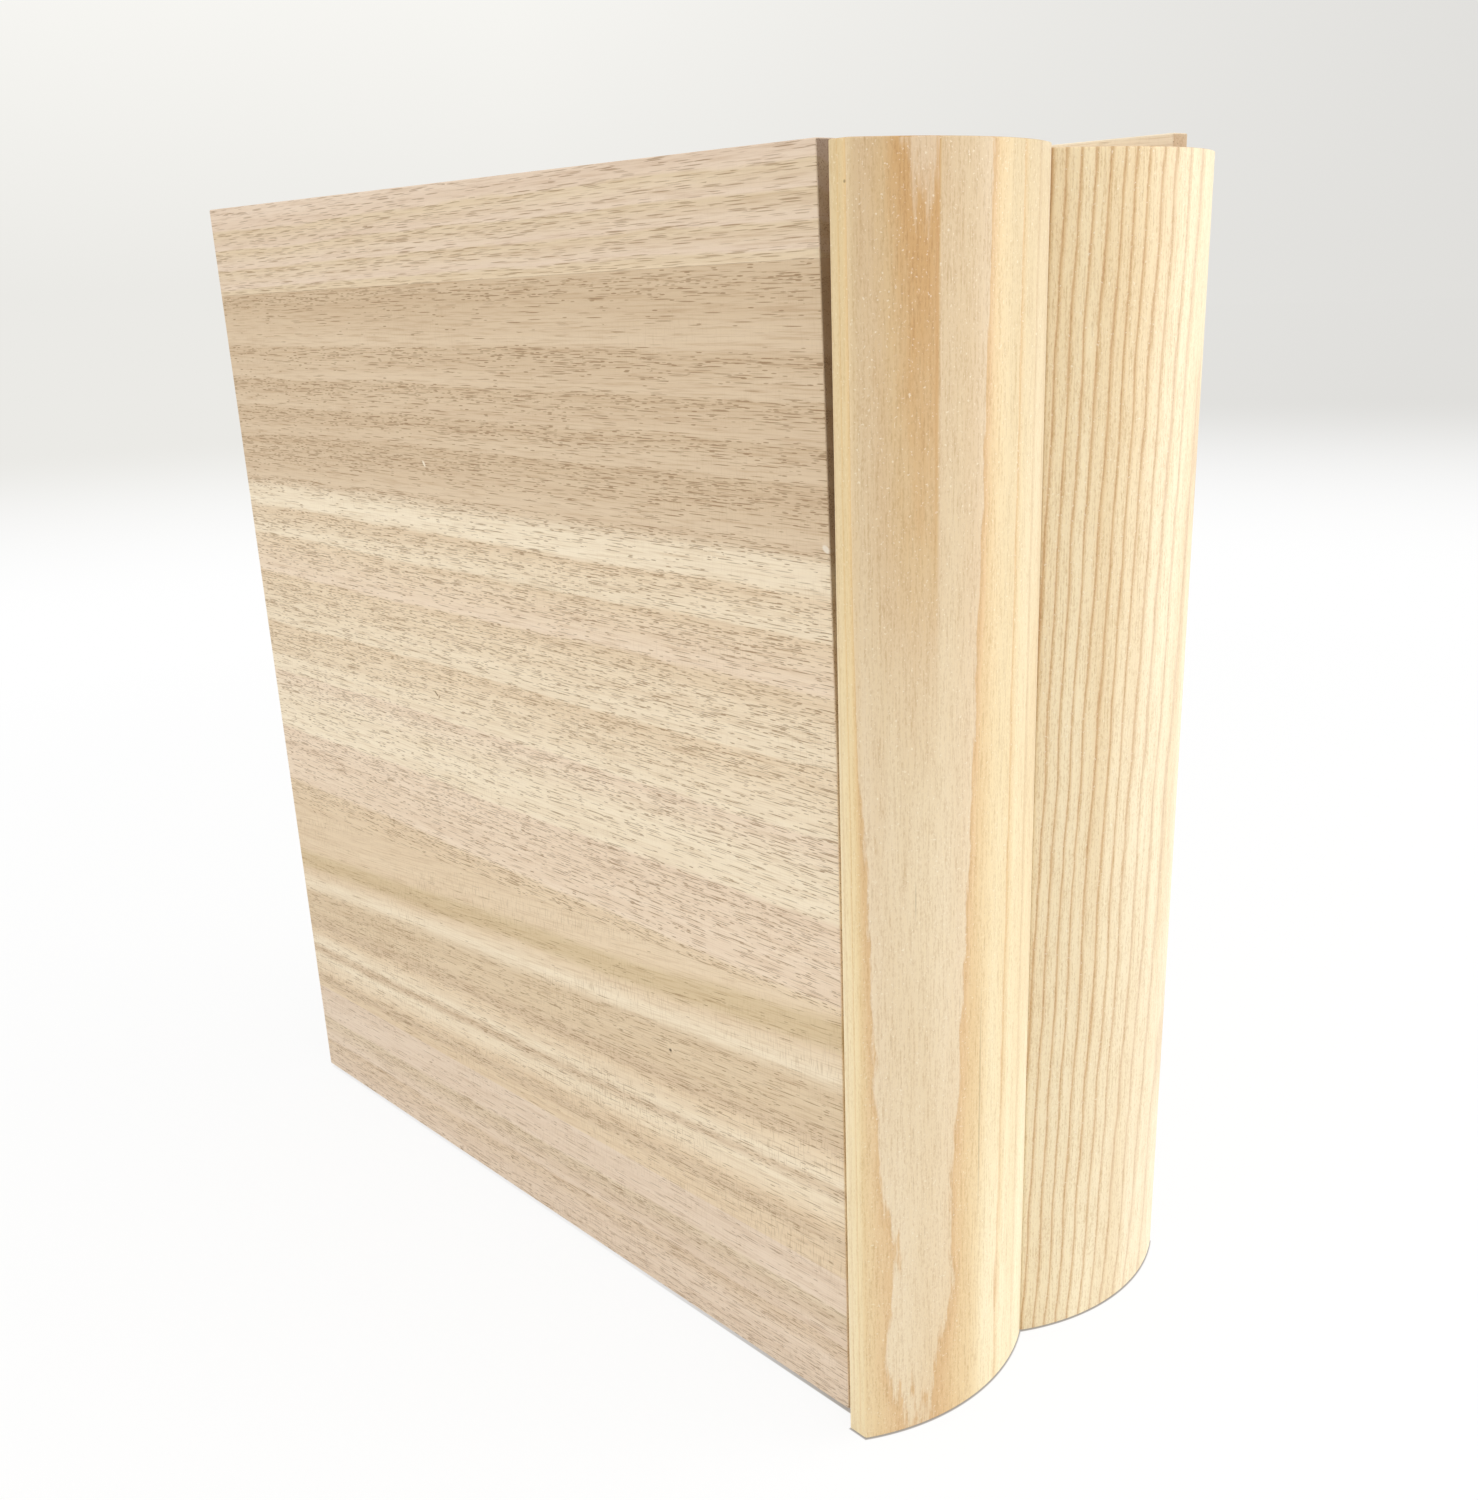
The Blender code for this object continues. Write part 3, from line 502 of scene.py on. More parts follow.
    # single marks: a place in mm, half its width and half its height in mm, strength and colour
    for place, half_width, half_height, strength, colour in marks:
        gap = around(tree, mm, place, half_width, half_height)
        inside = add_node(tree, "MapRange", {0: gap, 1: 0.5, 2: 1.0, 3: strength, 4: 0})
        wood = add_node(tree, "Mix", {0: inside, 6: wood, 7: linear(colour)}, **MIXED)

    # sawn ends: the same rings, darker, because the open fibres take in the light
    end = add_node(tree, "SeparateXYZ", {0: face}, out=2)
    end = add_node(tree, "Math", {0: end}, operation="ABSOLUTE")
    end = add_node(tree, "MapRange", {0: end, 1: 0.75, 2: 0.95, 3: 0, 4: 0.5})
    wood = add_node(tree, "Mix", {0: end, 6: wood, 7: linear(ends)}, **MULTIPLIED)

    relief = add_node(tree, "Math", {0: fibre, 1: ticks}, operation="SUBTRACT")
    bump = add_node(tree, "Bump", {"Strength": 0.22, "Distance": PINE_RELIEF, "Height": relief})
    dull = add_node(tree, "MapRange", {0: fibre, 1: 0.3, 2: 0.7, 3: 0.62, 4: 0.50})
    surface = add_node(tree, "BsdfPrincipled", {
        "Base Color": wood, "Roughness": dull, "Specular IOR Level": 0.38, "IOR": 1.5,
        "Normal": bump})
    add_node(tree, "OutputMaterial", {0: surface})
    return material


# The left moulding was cut near the edge of a log, so its rings lie almost flat in the crown. They
# meet in a long pale tongue that ends at the tail and a small one at the head.
LEFT_RINGS = (
    (58.00, "#f8ebcf"), (59.20, "#f8eacc"), (59.55, "#f2e0bb"), (59.62, "#f8eaca"),
    (60.70, "#f8eac9"), (60.98, "#eedbb6"), (61.06, "#e9d3ac", 0.6), (61.16, "#f7e8c5"),
    (62.02, "#f7e7c1"), (62.30, "#efd8ab", 0.7), (62.42, "#e6c594", 0.4), (62.49, "#f6e4bc"),
    (62.95, "#f6e4bc", 0.9), (63.35, "#f3ddb2", 0.4), (63.66, "#eed3a5", 0.2),
    (63.80, "#eacb9e", 0.15), (63.84, "#dfb986", 0.15), (63.88, "#f0ddbf", 0.4),
    (64.34, "#ecd8b6", 0.4), (64.66, "#e2c8a2", 0.3), (64.80, "#dfc296", 0.3),
    (64.99, "#d5ab75", 0.3), (65.045, "#d5ab75", 0.3), (65.075, "#e5cba9", 0.3),
    (65.60, "#e9d3b2", 0.4),
)
# its check: where, how far the rings jump there, and the heights between which the jump grows
LEFT_CHECK = (-31.35, 0.35, 118.0, 162.0)
# bumps: a place, half a width and half a height in mm, and how far the rings swell
LEFT_BUMPS = (
    ((-38.5, -103.2, 40.0), 5.0, 13.0, -0.09),
    ((-40.2, -102.4, 16.0), 6.0, 13.0, 0.10),
    ((-27.0, -105.5, 26.0), 6.0, 18.0, 0.10),
    ((-34.2, -104.4, 222.0), 8.0, 22.0, 0.10),
)
# painted light and shade by height, darker toward the head and paler toward the tail: the heights
# where each starts and is full, how strong it is, its colour and its blend
LEFT_PAINTED_LIGHT_AND_SHADE = (
    (95.0, 212.0, 1.0, "#ebe7e3", "MULTIPLY"),
    (125.0, 18.0, 0.50, "#fff8de", "MIX"),
)
LEFT_PITH = (-16.37, -42.82)
LEFT_LEAN = (0.0130, 0.0523, -0.0500)
LEFT_MARKS = (
    ((-36.4, -104.2, 3.2), 0.32, 0.34, 0.9, "#5c3f22"),
    ((-14.3, -105.4, 192.0), 0.30, 0.30, 0.85, "#5c3f22"),
    ((-44.35, -98.9, 211.5), 0.28, 0.28, 0.85, "#5c3f22"),
    ((-21.0, -105.8, 62.0), 0.30, 26.0, 0.35, "#a98f6c"),
    ((-35.3, -103.7, 104.0), 0.22, 4.5, 0.35, "#97805f"),
    ((-41.9, -101.5, 74.0), 0.22, 3.5, 0.55, "#8d6f48"),
    ((-39.2, -103.0, 39.5), 0.30, 2.5, 0.45, "#a27c4c"),
    ((-15.2, -105.3, 21.0), 0.55, 8.0, 0.45, "#d2a269"),
    ((-44.7, -97.8, 108.0), 2.9, 400.0, 0.35, "#e6c88f"),
    ((-31.9, -104.7, 192.0), 0.35, 42.0, 0.55, "#cfa26c"),
)
# The right moulding was cut with its rings on edge: straight thin lines about 2.3 mm apart. Toward
# its right side, where the lamp falls, they run out into a pale wash of painted light.
RIGHT_RING_WIDTH = 2.33
RIGHT_RINGS = (
    (0.0, "#d5b083", 0.2), (0.10, "#dab78c", 0.2), (0.28, "#f1dbb3", 0.9), (0.90, "#f4e1bc"),
    (1.70, "#f3dfb8"), (2.10, "#e6cb9f", 0.6), (2.33, "#d5b083", 0.2),
)
RIGHT_LEAN = (0.0475, 0.0013, 0)
RIGHT_PITH_HALFWAY_UP, HALFWAY_UP = 84.5, 108
RIGHT_PITH = (RIGHT_PITH_HALFWAY_UP - RIGHT_LEAN[0] * HALFWAY_UP, -185.3)
# painted light on the lit side: the radius where the wash starts, where it is full, its strength
# and its colour
RIGHT_PAINTED_LIGHT_WASH = (107.0, 93.0, 0.52, "#faf0d8")
# painted light: the right moulding turns paler toward its tail
RIGHT_PAINTED_LIGHT = ((195.0, 5.0, 0.60, "#fff6dc", "MIX"),)

for spine_name, spine_material in (
    ("left_spine_moulding", pine(
        "flat_sawn_pine_moulding", LEFT_PITH, LEFT_LEAN, LEFT_RINGS, swing=0.05,
        fray=0.12, check=LEFT_CHECK, bumps=LEFT_BUMPS, fades=LEFT_PAINTED_LIGHT_AND_SHADE, marks=LEFT_MARKS)),
    ("right_spine_moulding", pine(
        "straight_grained_pine_moulding", RIGHT_PITH, RIGHT_LEAN, RIGHT_RINGS,
        repeat=RIGHT_RING_WIDTH, swing=0.75, fray=0.30, uneven=0.55, pale=RIGHT_PAINTED_LIGHT_WASH,
        fades=RIGHT_PAINTED_LIGHT, shade="#e0d0b8")),
):
    low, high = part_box(spine_name)
    outline = half_round_outline(low, high)
    spine = new_piece(spine_name + "_planed", *carry_outline(outline, low.z, high.z, END_ARRIS),
                      spine_material)
    smooth_by_angle(spine)
    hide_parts(spine_name)
    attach(spine, "box")


# --- Lid
# The left cover: four staves of paulownia glued edge to edge into one thin board, then planed and
# trimmed. It opens on two hinges behind the left spine, and its glue lines run a little uphill.

BOARD_ARRIS = 0.0003
SHARP_TURN_DEG = 40
MERGE_WITHIN = 0.000002
FLAT_WITHIN_DEG = 0.5
LONG_EDGE = 0.003
JOINT_MARGIN = 0.0004
JOINT_LEVEL = 0.9
GLUE_TAKE_UP = 0.00014


def eased_copy(node, name, arris, joint_z=None):
    """A merged copy of a CAD piece with its long outer edges eased, and glued joints left sharp.

    An edge is eased if its two faces turn outwards by more than SHARP_TURN_DEG, it is longer than
    LONG_EDGE, and neither face is a glued joint: one that faces up or down inside joint_z. Glued
    joints move out by GLUE_TAKE_UP, so that two staves meet in a tight line.
    """
    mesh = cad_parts[node].data.copy()
    mesh.materials.clear()
    shape = bmesh.new()
    shape.from_mesh(mesh)
    bmesh.ops.remove_doubles(shape, verts=shape.verts, dist=MERGE_WITHIN)
    bmesh.ops.dissolve_limit(shape, angle_limit=math.radians(FLAT_WITHIN_DEG),
                             verts=shape.verts, edges=shape.edges)
    joints = []
    if joint_z:
        low, high = joint_z[0] + JOINT_MARGIN, joint_z[1] - JOINT_MARGIN
        joints = [face for face in shape.faces if abs(face.normal.z) > JOINT_LEVEL
                  and low < face.calc_center_median().z < high]
    weight = shape.edges.layers.float.new("bevel_weight_edge")
    for edge in shape.edges:
        if len(edge.link_faces) != 2 or edge.calc_length() < LONG_EDGE:
            continue
        glued = any(face in joints for face in edge.link_faces)
        turn = math.degrees(edge.calc_face_angle_signed(0))
        if turn > SHARP_TURN_DEG and not glued:
            edge[weight] = 1
    for face in joints:
        up = math.copysign(GLUE_TAKE_UP, face.normal.z)
        bmesh.ops.translate(shape, verts=face.verts, vec=(0, 0, up))
    shape.to_mesh(mesh)
    shape.free()
    mesh.name = name
    piece = bpy.data.objects.new(name, mesh)
    bpy.context.scene.collection.objects.link(piece)
    ease = piece.modifiers.new("eased_edges", "BEVEL")
    ease.limit_method = "WEIGHT"
    ease.width = arris
    ease.segments = 3
    return piece


# Noises in planed paulownia: how far their spots reach in depth, along the grain and in height, in
# mm, then their detail and roughness. Real fibres are about 0.03 mm wide, so they are drawn about
# ten times coarser to show. Rays run in depth and height, across the grain.
PAULOWNIA_NOISES = {
    "wave": (30, 70, 18, 1.0, 0.5),
    "fray": (2, 14, 1.2, 3.0, 0.6),
    "cloud": (2.6, 130.0, 2.6, 5.0, 0.6),
    "fibre": (0.28, 10.0, 0.28, 3.0, 0.65),
    "ray": (2.6, 0.36, 2.6, 1.0, 0.5),
    "ray_patch": (20, 40, 9, 2.0, 0.5),
    "pore_patch": (4, 10, 2, 2.0, 0.5),
}
# Room that one pore takes across and along the grain, in mm: wide short ones, and fine long ones.
# The real vessels are 0.1 to 0.3 mm wide.
PAULOWNIA_PORE_MM = (0.30, 2.1)
PAULOWNIA_FINE_PORE_MM = (0.23, 6.0)
PORE_COLOUR, RAY_COLOUR = "#8a6a45", "#a88c66"
PAULOWNIA_CLOUD_TONES = ((0.34, "#ece4dc"), (0.50, "#f8f5f1"), (0.64, "#ffffff"))
PAULOWNIA_FIBRE_TONES = ((0.34, "#ddd0c0"), (0.52, "#ffffff"), (0.68, "#fffdf8"))
PAULOWNIA_RELIEF = 0.00018
# for each size of pore: the power that its alpha is raised to, and its narrowest half width as a
# share of its room
PORE_CROWDING, PORE_NARROW = (2.6, 1.8), (0.28, 0.33)
PORE_WIDTH_RANGE = 0.14
PORE_TONES = (0.32, 0.70)
WAVE_MM, FRAY_MM = 1.2, 0.8
LID_MIDDLE_DEPTH_MM = 39
END_BLEND_MM = (106, 164)


def paulownia(name, bands, slope=0.0, fan=0.0, tilt=0.35, pores=1.0, pore_mm=PAULOWNIA_PORE_MM,
              rays=0.3, marks=(), ends=("#c4ae95", "#c4ae95")):
    """Planed paulownia with its grain across the cover: soft growth bands and brown pore dashes.

    It is light and open-pored and stays dull when planed, so it shows almost no gloss.
    Band height = z + (slope + fan x (z - middle of the bands)) x y + tilt x (x +
    LID_MIDDLE_DEPTH_MM), in mm, plus a slow wave and a fray. The ramp of bands gives the colour at
    each height. Its alpha says how crowded the pores are: each is open by a chance of alpha to a
    power, times a patchy share. The sawn ends have one colour near the tail and one near the head;
    on the lid they hold painted light toward the tail and painted shade toward the head.
    """
    material, tree = new_material(name)
    coordinate = add_node(tree, "TexCoord").node
    mm = add_node(tree, "Mapping", {0: coordinate.outputs["Object"], "Scale": (MM, MM, MM)})
    x, y, z = add_node(tree, "SeparateXYZ", {0: mm}).node.outputs
    middle = (bands[0][0] + bands[-1][0]) / 2
    steep = add_node(tree, "Math", {0: z, 1: fan, 2: slope - fan * middle},
                     operation="MULTIPLY_ADD")
    rise = add_node(tree, "Math", {0: y, 1: steep}, operation="MULTIPLY")
    height = add_node(tree, "Math", {0: z, 1: rise}, operation="ADD")
    height = add_node(tree, "Math", {0: x, 1: tilt, 2: height}, operation="MULTIPLY_ADD")
    grain = add_node(tree, "CombineXYZ", {0: x, 1: y, 2: height})

    noise = {}
    for use, (depth_mm, along, across, detail, rough) in PAULOWNIA_NOISES.items():
        place = add_node(tree, "Mapping", {0: grain, "Scale": (
            1 / depth_mm, 1 / along, 1 / across)})
        noise[use] = add_node(tree, "TexNoise", {
            0: place, "Scale": 1.0, "Detail": detail, "Roughness": rough})

    # growth bands, with a slow wave and frayed edges
    level_shift = -WAVE_MM - FRAY_MM + tilt * LID_MIDDLE_DEPTH_MM
    wave = add_node(tree, "Math", {0: noise["wave"], 1: 2 * WAVE_MM, 2: level_shift},
                    operation="MULTIPLY_ADD")
    wave = add_node(tree, "Math", {0: noise["fray"], 1: 2 * FRAY_MM, 2: wave},
                    operation="MULTIPLY_ADD")
    level = add_node(tree, "Math", {0: height, 1: wave}, operation="ADD")
    span = (bands[0][0], bands[-1][0])
    level = add_node(tree, "MapRange", {0: level, 1: span[0], 2: span[1]})
    ramp = set_ramp(add_node(tree, "ValToRGB", {0: level}), bands, span).node
    wood = ramp.outputs["Color"]

    # clouds and streaks of greyer wood, and fine fibres
    cloud = set_ramp(add_node(tree, "ValToRGB", {0: noise["cloud"]}),
                     PAULOWNIA_CLOUD_TONES, (0, 1))
    wood = add_node(tree, "Mix", {0: 0.45, 6: wood, 7: cloud}, **MULTIPLIED)
    fibre = noise["fibre"]
    shade = set_ramp(add_node(tree, "ValToRGB", {0: fibre}), PAULOWNIA_FIBRE_TONES, (0, 1))
    wood = add_node(tree, "Mix", {0: 0.5, 6: wood, 7: shade}, **MULTIPLIED)

    # rays: fine ticks across the grain, in patches
    ray = add_node(tree, "MapRange", {0: noise["ray"], 1: 0.54, 2: 0.66})
    patch = add_node(tree, "MapRange", {0: noise["ray_patch"], 1: 0.44, 2: 0.64,
                                        3: 0.15 * rays, 4: 0.7 * rays})
    ray = add_node(tree, "Math", {0: ray, 1: patch}, operation="MULTIPLY")
    wood = add_node(tree, "Mix", {0: ray, 6: wood, 7: linear(RAY_COLOUR)}, **MIXED)

    # pores: long cells along the grain, open by chance and by band, in a coarse and a fine size
    share = add_node(tree, "MapRange", {0: noise["pore_patch"], 1: 0.36, 2: 0.56,
                                        3: 0.55, 4: 1.0})
    dash = None
    for (across, along), crowding, narrow in zip(
            (pore_mm, PAULOWNIA_FINE_PORE_MM), PORE_CROWDING, PORE_NARROW):
        cell = add_node(tree, "Mapping", {0: grain, "Scale": (1 / across, 1 / along, 1 / across)})
        cell = add_node(tree, "TexVoronoi", {0: cell, "Scale": 1.0}).node
        chance, depth, _ = add_node(
            tree, "SeparateColor", {0: cell.outputs["Color"]}).node.outputs
        crowd = add_node(tree, "Math", {0: ramp.outputs["Alpha"], 1: crowding}, operation="POWER")
        crowd = add_node(tree, "Math", {0: crowd, 1: share}, operation="MULTIPLY")
        opened = add_node(tree, "Math", {0: chance, 1: crowd}, operation="LESS_THAN")
        width = add_node(tree, "MapRange", {0: depth, 3: narrow, 4: narrow + PORE_WIDTH_RANGE})
        inner = add_node(tree, "Math", {0: width, 1: 0.72}, operation="MULTIPLY")
        cut = add_node(tree, "MapRange", {0: cell.outputs["Distance"], 1: inner, 2: width,
                                          3: 1, 4: 0})
        cut = add_node(tree, "Math", {0: cut, 1: opened}, operation="MULTIPLY")
        tone = add_node(tree, "MapRange", {0: depth, 3: PORE_TONES[0] * pores,
                                           4: PORE_TONES[1] * pores})
        cut = add_node(tree, "Math", {0: cut, 1: tone}, operation="MULTIPLY")
        dash = add_node(tree, "Math", {0: dash, 1: cut}, operation="MAXIMUM") if dash else cut
    wood = add_node(tree, "Mix", {0: dash, 6: wood, 7: linear(PORE_COLOUR)}, **MIXED)

    # single marks: a place (y, z), how long and high in mm, how far turned in degrees, and a colour
    for mark_y, mark_z, long_mm, high_mm, turn, mark_colour in marks:
        spot = add_node(tree, "Mapping", {0: mm, "Location": (0, -mark_y, -mark_z)})
        spot = add_node(tree, "Mapping", {0: spot, "Rotation": (math.radians(turn), 0, 0)})
        spot = add_node(tree, "Mapping", {0: spot, "Scale": (0, 2 / long_mm, 2 / high_mm)})
        spot = add_node(tree, "VectorMath", {0: spot}, out=1, operation="LENGTH")
        spot = add_node(tree, "MapRange", {0: spot, 1: 0.7, 2: 1.1, 3: 0.85, 4: 0})
        wood = add_node(tree, "Mix", {0: spot, 6: wood, 7: linear(mark_colour)}, **MIXED)

    # the two sawn ends of the staves show end grain, browner than the planed face; on the lid its
    # colour also holds painted light toward the tail and painted shade toward the head
    end = add_node(tree, "SeparateXYZ", {0: coordinate.outputs["Normal"]}, out=1)
    end = add_node(tree, "Math", {0: end}, operation="ABSOLUTE")
    end = add_node(tree, "MapRange", {0: end, 1: 0.6, 2: 0.9, 3: 0, 4: 0.75})
    end_colour = add_node(tree, "MapRange", {0: z, 1: END_BLEND_MM[0], 2: END_BLEND_MM[1]})
    end_colour = add_node(tree, "Mix", {0: end_colour, 6: linear(ends[0]), 7: linear(ends[1])},
                          **MIXED)
    wood = add_node(tree, "Mix", {0: end, 6: wood, 7: end_colour}, **MULTIPLIED)

    relief = add_node(tree, "Math", {0: dash, 1: -1.0, 2: fibre}, operation="MULTIPLY_ADD")
    bump = add_node(tree, "Bump", {
        "Strength": 0.25, "Distance": PAULOWNIA_RELIEF, "Height": relief})
    surface = add_node(tree, "BsdfPrincipled", {
        "Base Color": wood, "Roughness": 0.68, "Specular IOR Level": 0.25, "IOR": 1.5,
        "Normal": bump})
    add_node(tree, "OutputMaterial", {0: surface})
    return material


TAN, CREAM, PINK, OLIVE = "#dfcaae", "#f5e7ce", "#efdcc5", "#dbc6a2"
MAUVE, GREY, SAND, UMBER = "#e8d4bf", "#e2ceb0", "#ead6b9", "#d6bfa1"
ROSE = "#ebd9c5"
# bands: a height in mm, a colour, and how crowded the pores are there
HEAD_BANDS = (
    (199, SAND, 0.4), (201.0, GREY, 0.9), (201.6, MAUVE, 0.4), (205.0, GREY, 0.8),
    (205.6, MAUVE, 0.45), (209.0, GREY, 0.8), (209.6, MAUVE, 0.45), (213.0, GREY, 0.8),
    (213.6, MAUVE, 0.5), (218, MAUVE, 0.6),
)
WIDE_BANDS = (
    (77, SAND, 0.5), (82.0, SAND, 0.9), (82.6, PINK, 0.45), (96.2, PINK, 0.8),
    (96.8, CREAM, 0.45), (104, CREAM, 0.6), (111.0, PINK, 0.9), (111.6, CREAM, 0.5),
    (123.2, SAND, 0.9), (123.8, CREAM, 0.5), (135.3, SAND, 0.95), (136.0, PINK, 0.45),
    (144.2, SAND, 0.9), (144.9, CREAM, 0.5), (151.0, SAND, 0.95), (151.8, CREAM, 0.4),
    (155.5, CREAM, 0.5), (158.2, TAN, 1.0), (159.3, TAN, 0.3), (168.0, UMBER, 1.0),
    (168.9, TAN, 0.25), (174.2, UMBER, 1.0), (175.0, TAN, 0.3), (180.5, UMBER, 0.9),
    (181.3, TAN, 0.25), (187.6, UMBER, 0.75), (188.4, TAN, 0.15), (195.5, UMBER, 0.4),
    (198.4, UMBER, 0.95), (199.2, UMBER, 0.4),
)
LOWER_BANDS = (
    (20, SAND, 0.4), (28, SAND, 0.3), (31, TAN, 0.9), (33, SAND, 0.5), (38, CREAM, 0.35),
    (40, TAN, 0.9), (42, CREAM, 0.4), (46, SAND, 0.45), (48, TAN, 0.8), (52, GREY, 0.5),
    (58, GREY, 0.6), (61, CREAM, 0.15), (65, SAND, 0.15), (67, OLIVE, 0.5), (70, OLIVE, 0.3),
    (72, SAND, 0.15), (82, SAND, 0.15),
)
TAIL_BANDS = ((0, ROSE, 0.7), (5, ROSE, 0.5), (10, "#e5d1b8", 0.9), (11, ROSE, 0.4),
              (17, "#e2d0b6", 0.8), (18, ROSE, 0.35), (24, ROSE, 0.4), (32, ROSE, 0.3))
LOWER_MARKS = ((-45.2, 58.5, 0.9, 0.7, 0, "#4a3826"),)
WIDE_MARKS = ((28.6, 117.6, 1.8, 0.5, -35, "#8b7350"), (27.6, 117.0, 1.2, 0.4, 50, "#a18865"),
              (23.9, 166.2, 1.6, 0.7, -50, "#f0e4cf"), (-90.9, 160.2, 1.8, 1.1, -30, "#eadfce"))
TAIL_MARKS = ((16.9, 8.2, 1.1, 0.5, -40, "#a08869"),)

# end grain colours near the tail and near the head: painted light toward the tail and a grey
# painted shade toward the head, as in the gap by the spine
LID_ENDS_PAINTED_LIGHT_AND_SHADE = ("#fdf3da", "#938a86")

lid_low, lid_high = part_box("lid_tail_stave")[0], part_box("lid_head_stave")[1]
LID_STAVES = (
    ("lid_tail_stave", dict(bands=TAIL_BANDS, slope=0.03, pores=0.9, marks=TAIL_MARKS)),
    ("lid_lower_stave", dict(bands=LOWER_BANDS, slope=0.066, fan=0.0010, rays=0.45, pores=0.9,
                             marks=LOWER_MARKS)),
    ("lid_wide_stave", dict(bands=WIDE_BANDS, slope=0.004, rays=0.15, marks=WIDE_MARKS)),
    ("lid_head_stave", dict(bands=HEAD_BANDS, slope=0.014, pores=0.88, pore_mm=(0.26, 7.0),
                            rays=0.05)),
)
for stave_name, look in LID_STAVES:
    stave = eased_copy(stave_name, stave_name + "_planed", BOARD_ARRIS, (lid_low.z, lid_high.z))
    stave.data.materials.append(
        paulownia("planed_paulownia_" + stave_name, ends=LID_ENDS_PAINTED_LIGHT_AND_SHADE, **look))
    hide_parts(stave_name)
    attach(stave, "lid")


# --- Back cover
# The right cover: a second board of three paulownia staves, glued flat to the frame's back edge.
# Only its top edge shows in the photograph, so its grain is like the lid's but its own.

back_low, back_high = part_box("back_cover_tail_stave")[0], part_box("back_cover_head_stave")[1]
BACK_STAVES = (
    ("back_cover_tail_stave", dict(
        bands=((0, MAUVE, 0.4), (12, PINK, 0.6), (22, SAND, 0.9), (23, CREAM, 0.4),
               (36, CREAM, 0.5), (44, TAN, 0.9), (45, PINK, 0.4), (55, PINK, 0.5)),
        slope=-0.03, rays=0.15)),
    ("back_cover_middle_stave", dict(
        bands=((40, CREAM, 0.3), (52, OLIVE, 0.5), (60, CREAM, 0.3), (72, SAND, 0.9),
               (73, CREAM, 0.4), (92, CREAM, 0.6), (101, TAN, 0.95), (102, PINK, 0.45),
               (120, SAND, 0.8), (121, PINK, 0.4), (140, PINK, 0.6)), slope=0.035, rays=0.3)),
    ("back_cover_head_stave", dict(
        bands=((120, PINK, 0.5), (138, SAND, 0.9), (139, CREAM, 0.45), (158, PINK, 0.6),
               (168, TAN, 0.95), (169, CREAM, 0.4), (190, SAND, 0.8), (191, PINK, 0.4),
               (200, PINK, 0.8), (212, CREAM, 0.35), (220, "#fbf0da", 0.2)),
        slope=-0.015, rays=0.15)),
)
for stave_name, look in BACK_STAVES:
    stave = eased_copy(stave_name, stave_name + "_planed", BOARD_ARRIS, (back_low.z, back_high.z))
    stave.data.materials.append(paulownia("planed_paulownia_" + stave_name, **look))
    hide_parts(stave_name)
    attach(stave, "box")


# --- Frame
# Four pine boards finger jointed at the corners: the spine wall, the fore edge wall, and the tail
# and head walls. The covers and spines are glued to its outside.

WALL_ARRIS = 0.00015
WALL_RINGS = (
    (0.0, "#d3ac79"), (0.10, "#dcb98a"), (0.45, "#ead0a4"), (1.2, "#f1dcb5"),
    (2.3, "#f2deb8"), (2.75, "#e2c393"), (3.0, "#d3ac79"),
)
WALLS = (
    ("spine_wall", "Z", (30, -150), (0.02, 0.004, 0)),
    ("fore_edge_wall", "Z", (-35, 20), (-0.01, 0.02, 0)),
    ("tail_wall", "Y", (20, 60), (0.02, 0.01, 0)),
    ("head_wall", "Y", (-10, 130), (-0.015, 0.01, 0)),
)
for wall_name, wall_grain, wall_pith, wall_lean in WALLS:
    wall = eased_copy(wall_name, wall_name + "_planed", WALL_ARRIS)
    wall.data.materials.append(pine("planed_pine_" + wall_name, wall_pith, wall_lean, WALL_RINGS,
                                    repeat=3.0, swing=0.3, grain=wall_grain))
    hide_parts(wall_name)
    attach(wall, "box")


# --- Dividers
# One upright and two shelves of thin paulownia, halved into each other and let into grooves in the
# frame. They part the inside into six compartments.

DIVIDER_ARRIS = 0.0002
DIVIDER_BANDS = ((0, CREAM, 0.3), (30, SAND, 0.6), (33, CREAM, 0.3), (70, PINK, 0.4),
                 (76, TAN, 0.7), (80, CREAM, 0.3), (130, CREAM, 0.4), (150, SAND, 0.7),
                 (154, CREAM, 0.3), (220, PINK, 0.4))
for divider_name in ("upright_divider", "shelf_divider_1", "shelf_divider_2"):
    divider = eased_copy(divider_name, divider_name + "_planed", DIVIDER_ARRIS)
    divider.data.materials.append(paulownia(
        "planed_paulownia_" + divider_name, DIVIDER_BANDS, slope=0.02, tilt=0.9))
    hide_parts(divider_name)
    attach(divider, "box")


# --- Hinges
# Two small butt hinges of rolled brass strip, each with two leaves and a pin. One leaf is let into
# the lid and the other is screwed to the spine wall.

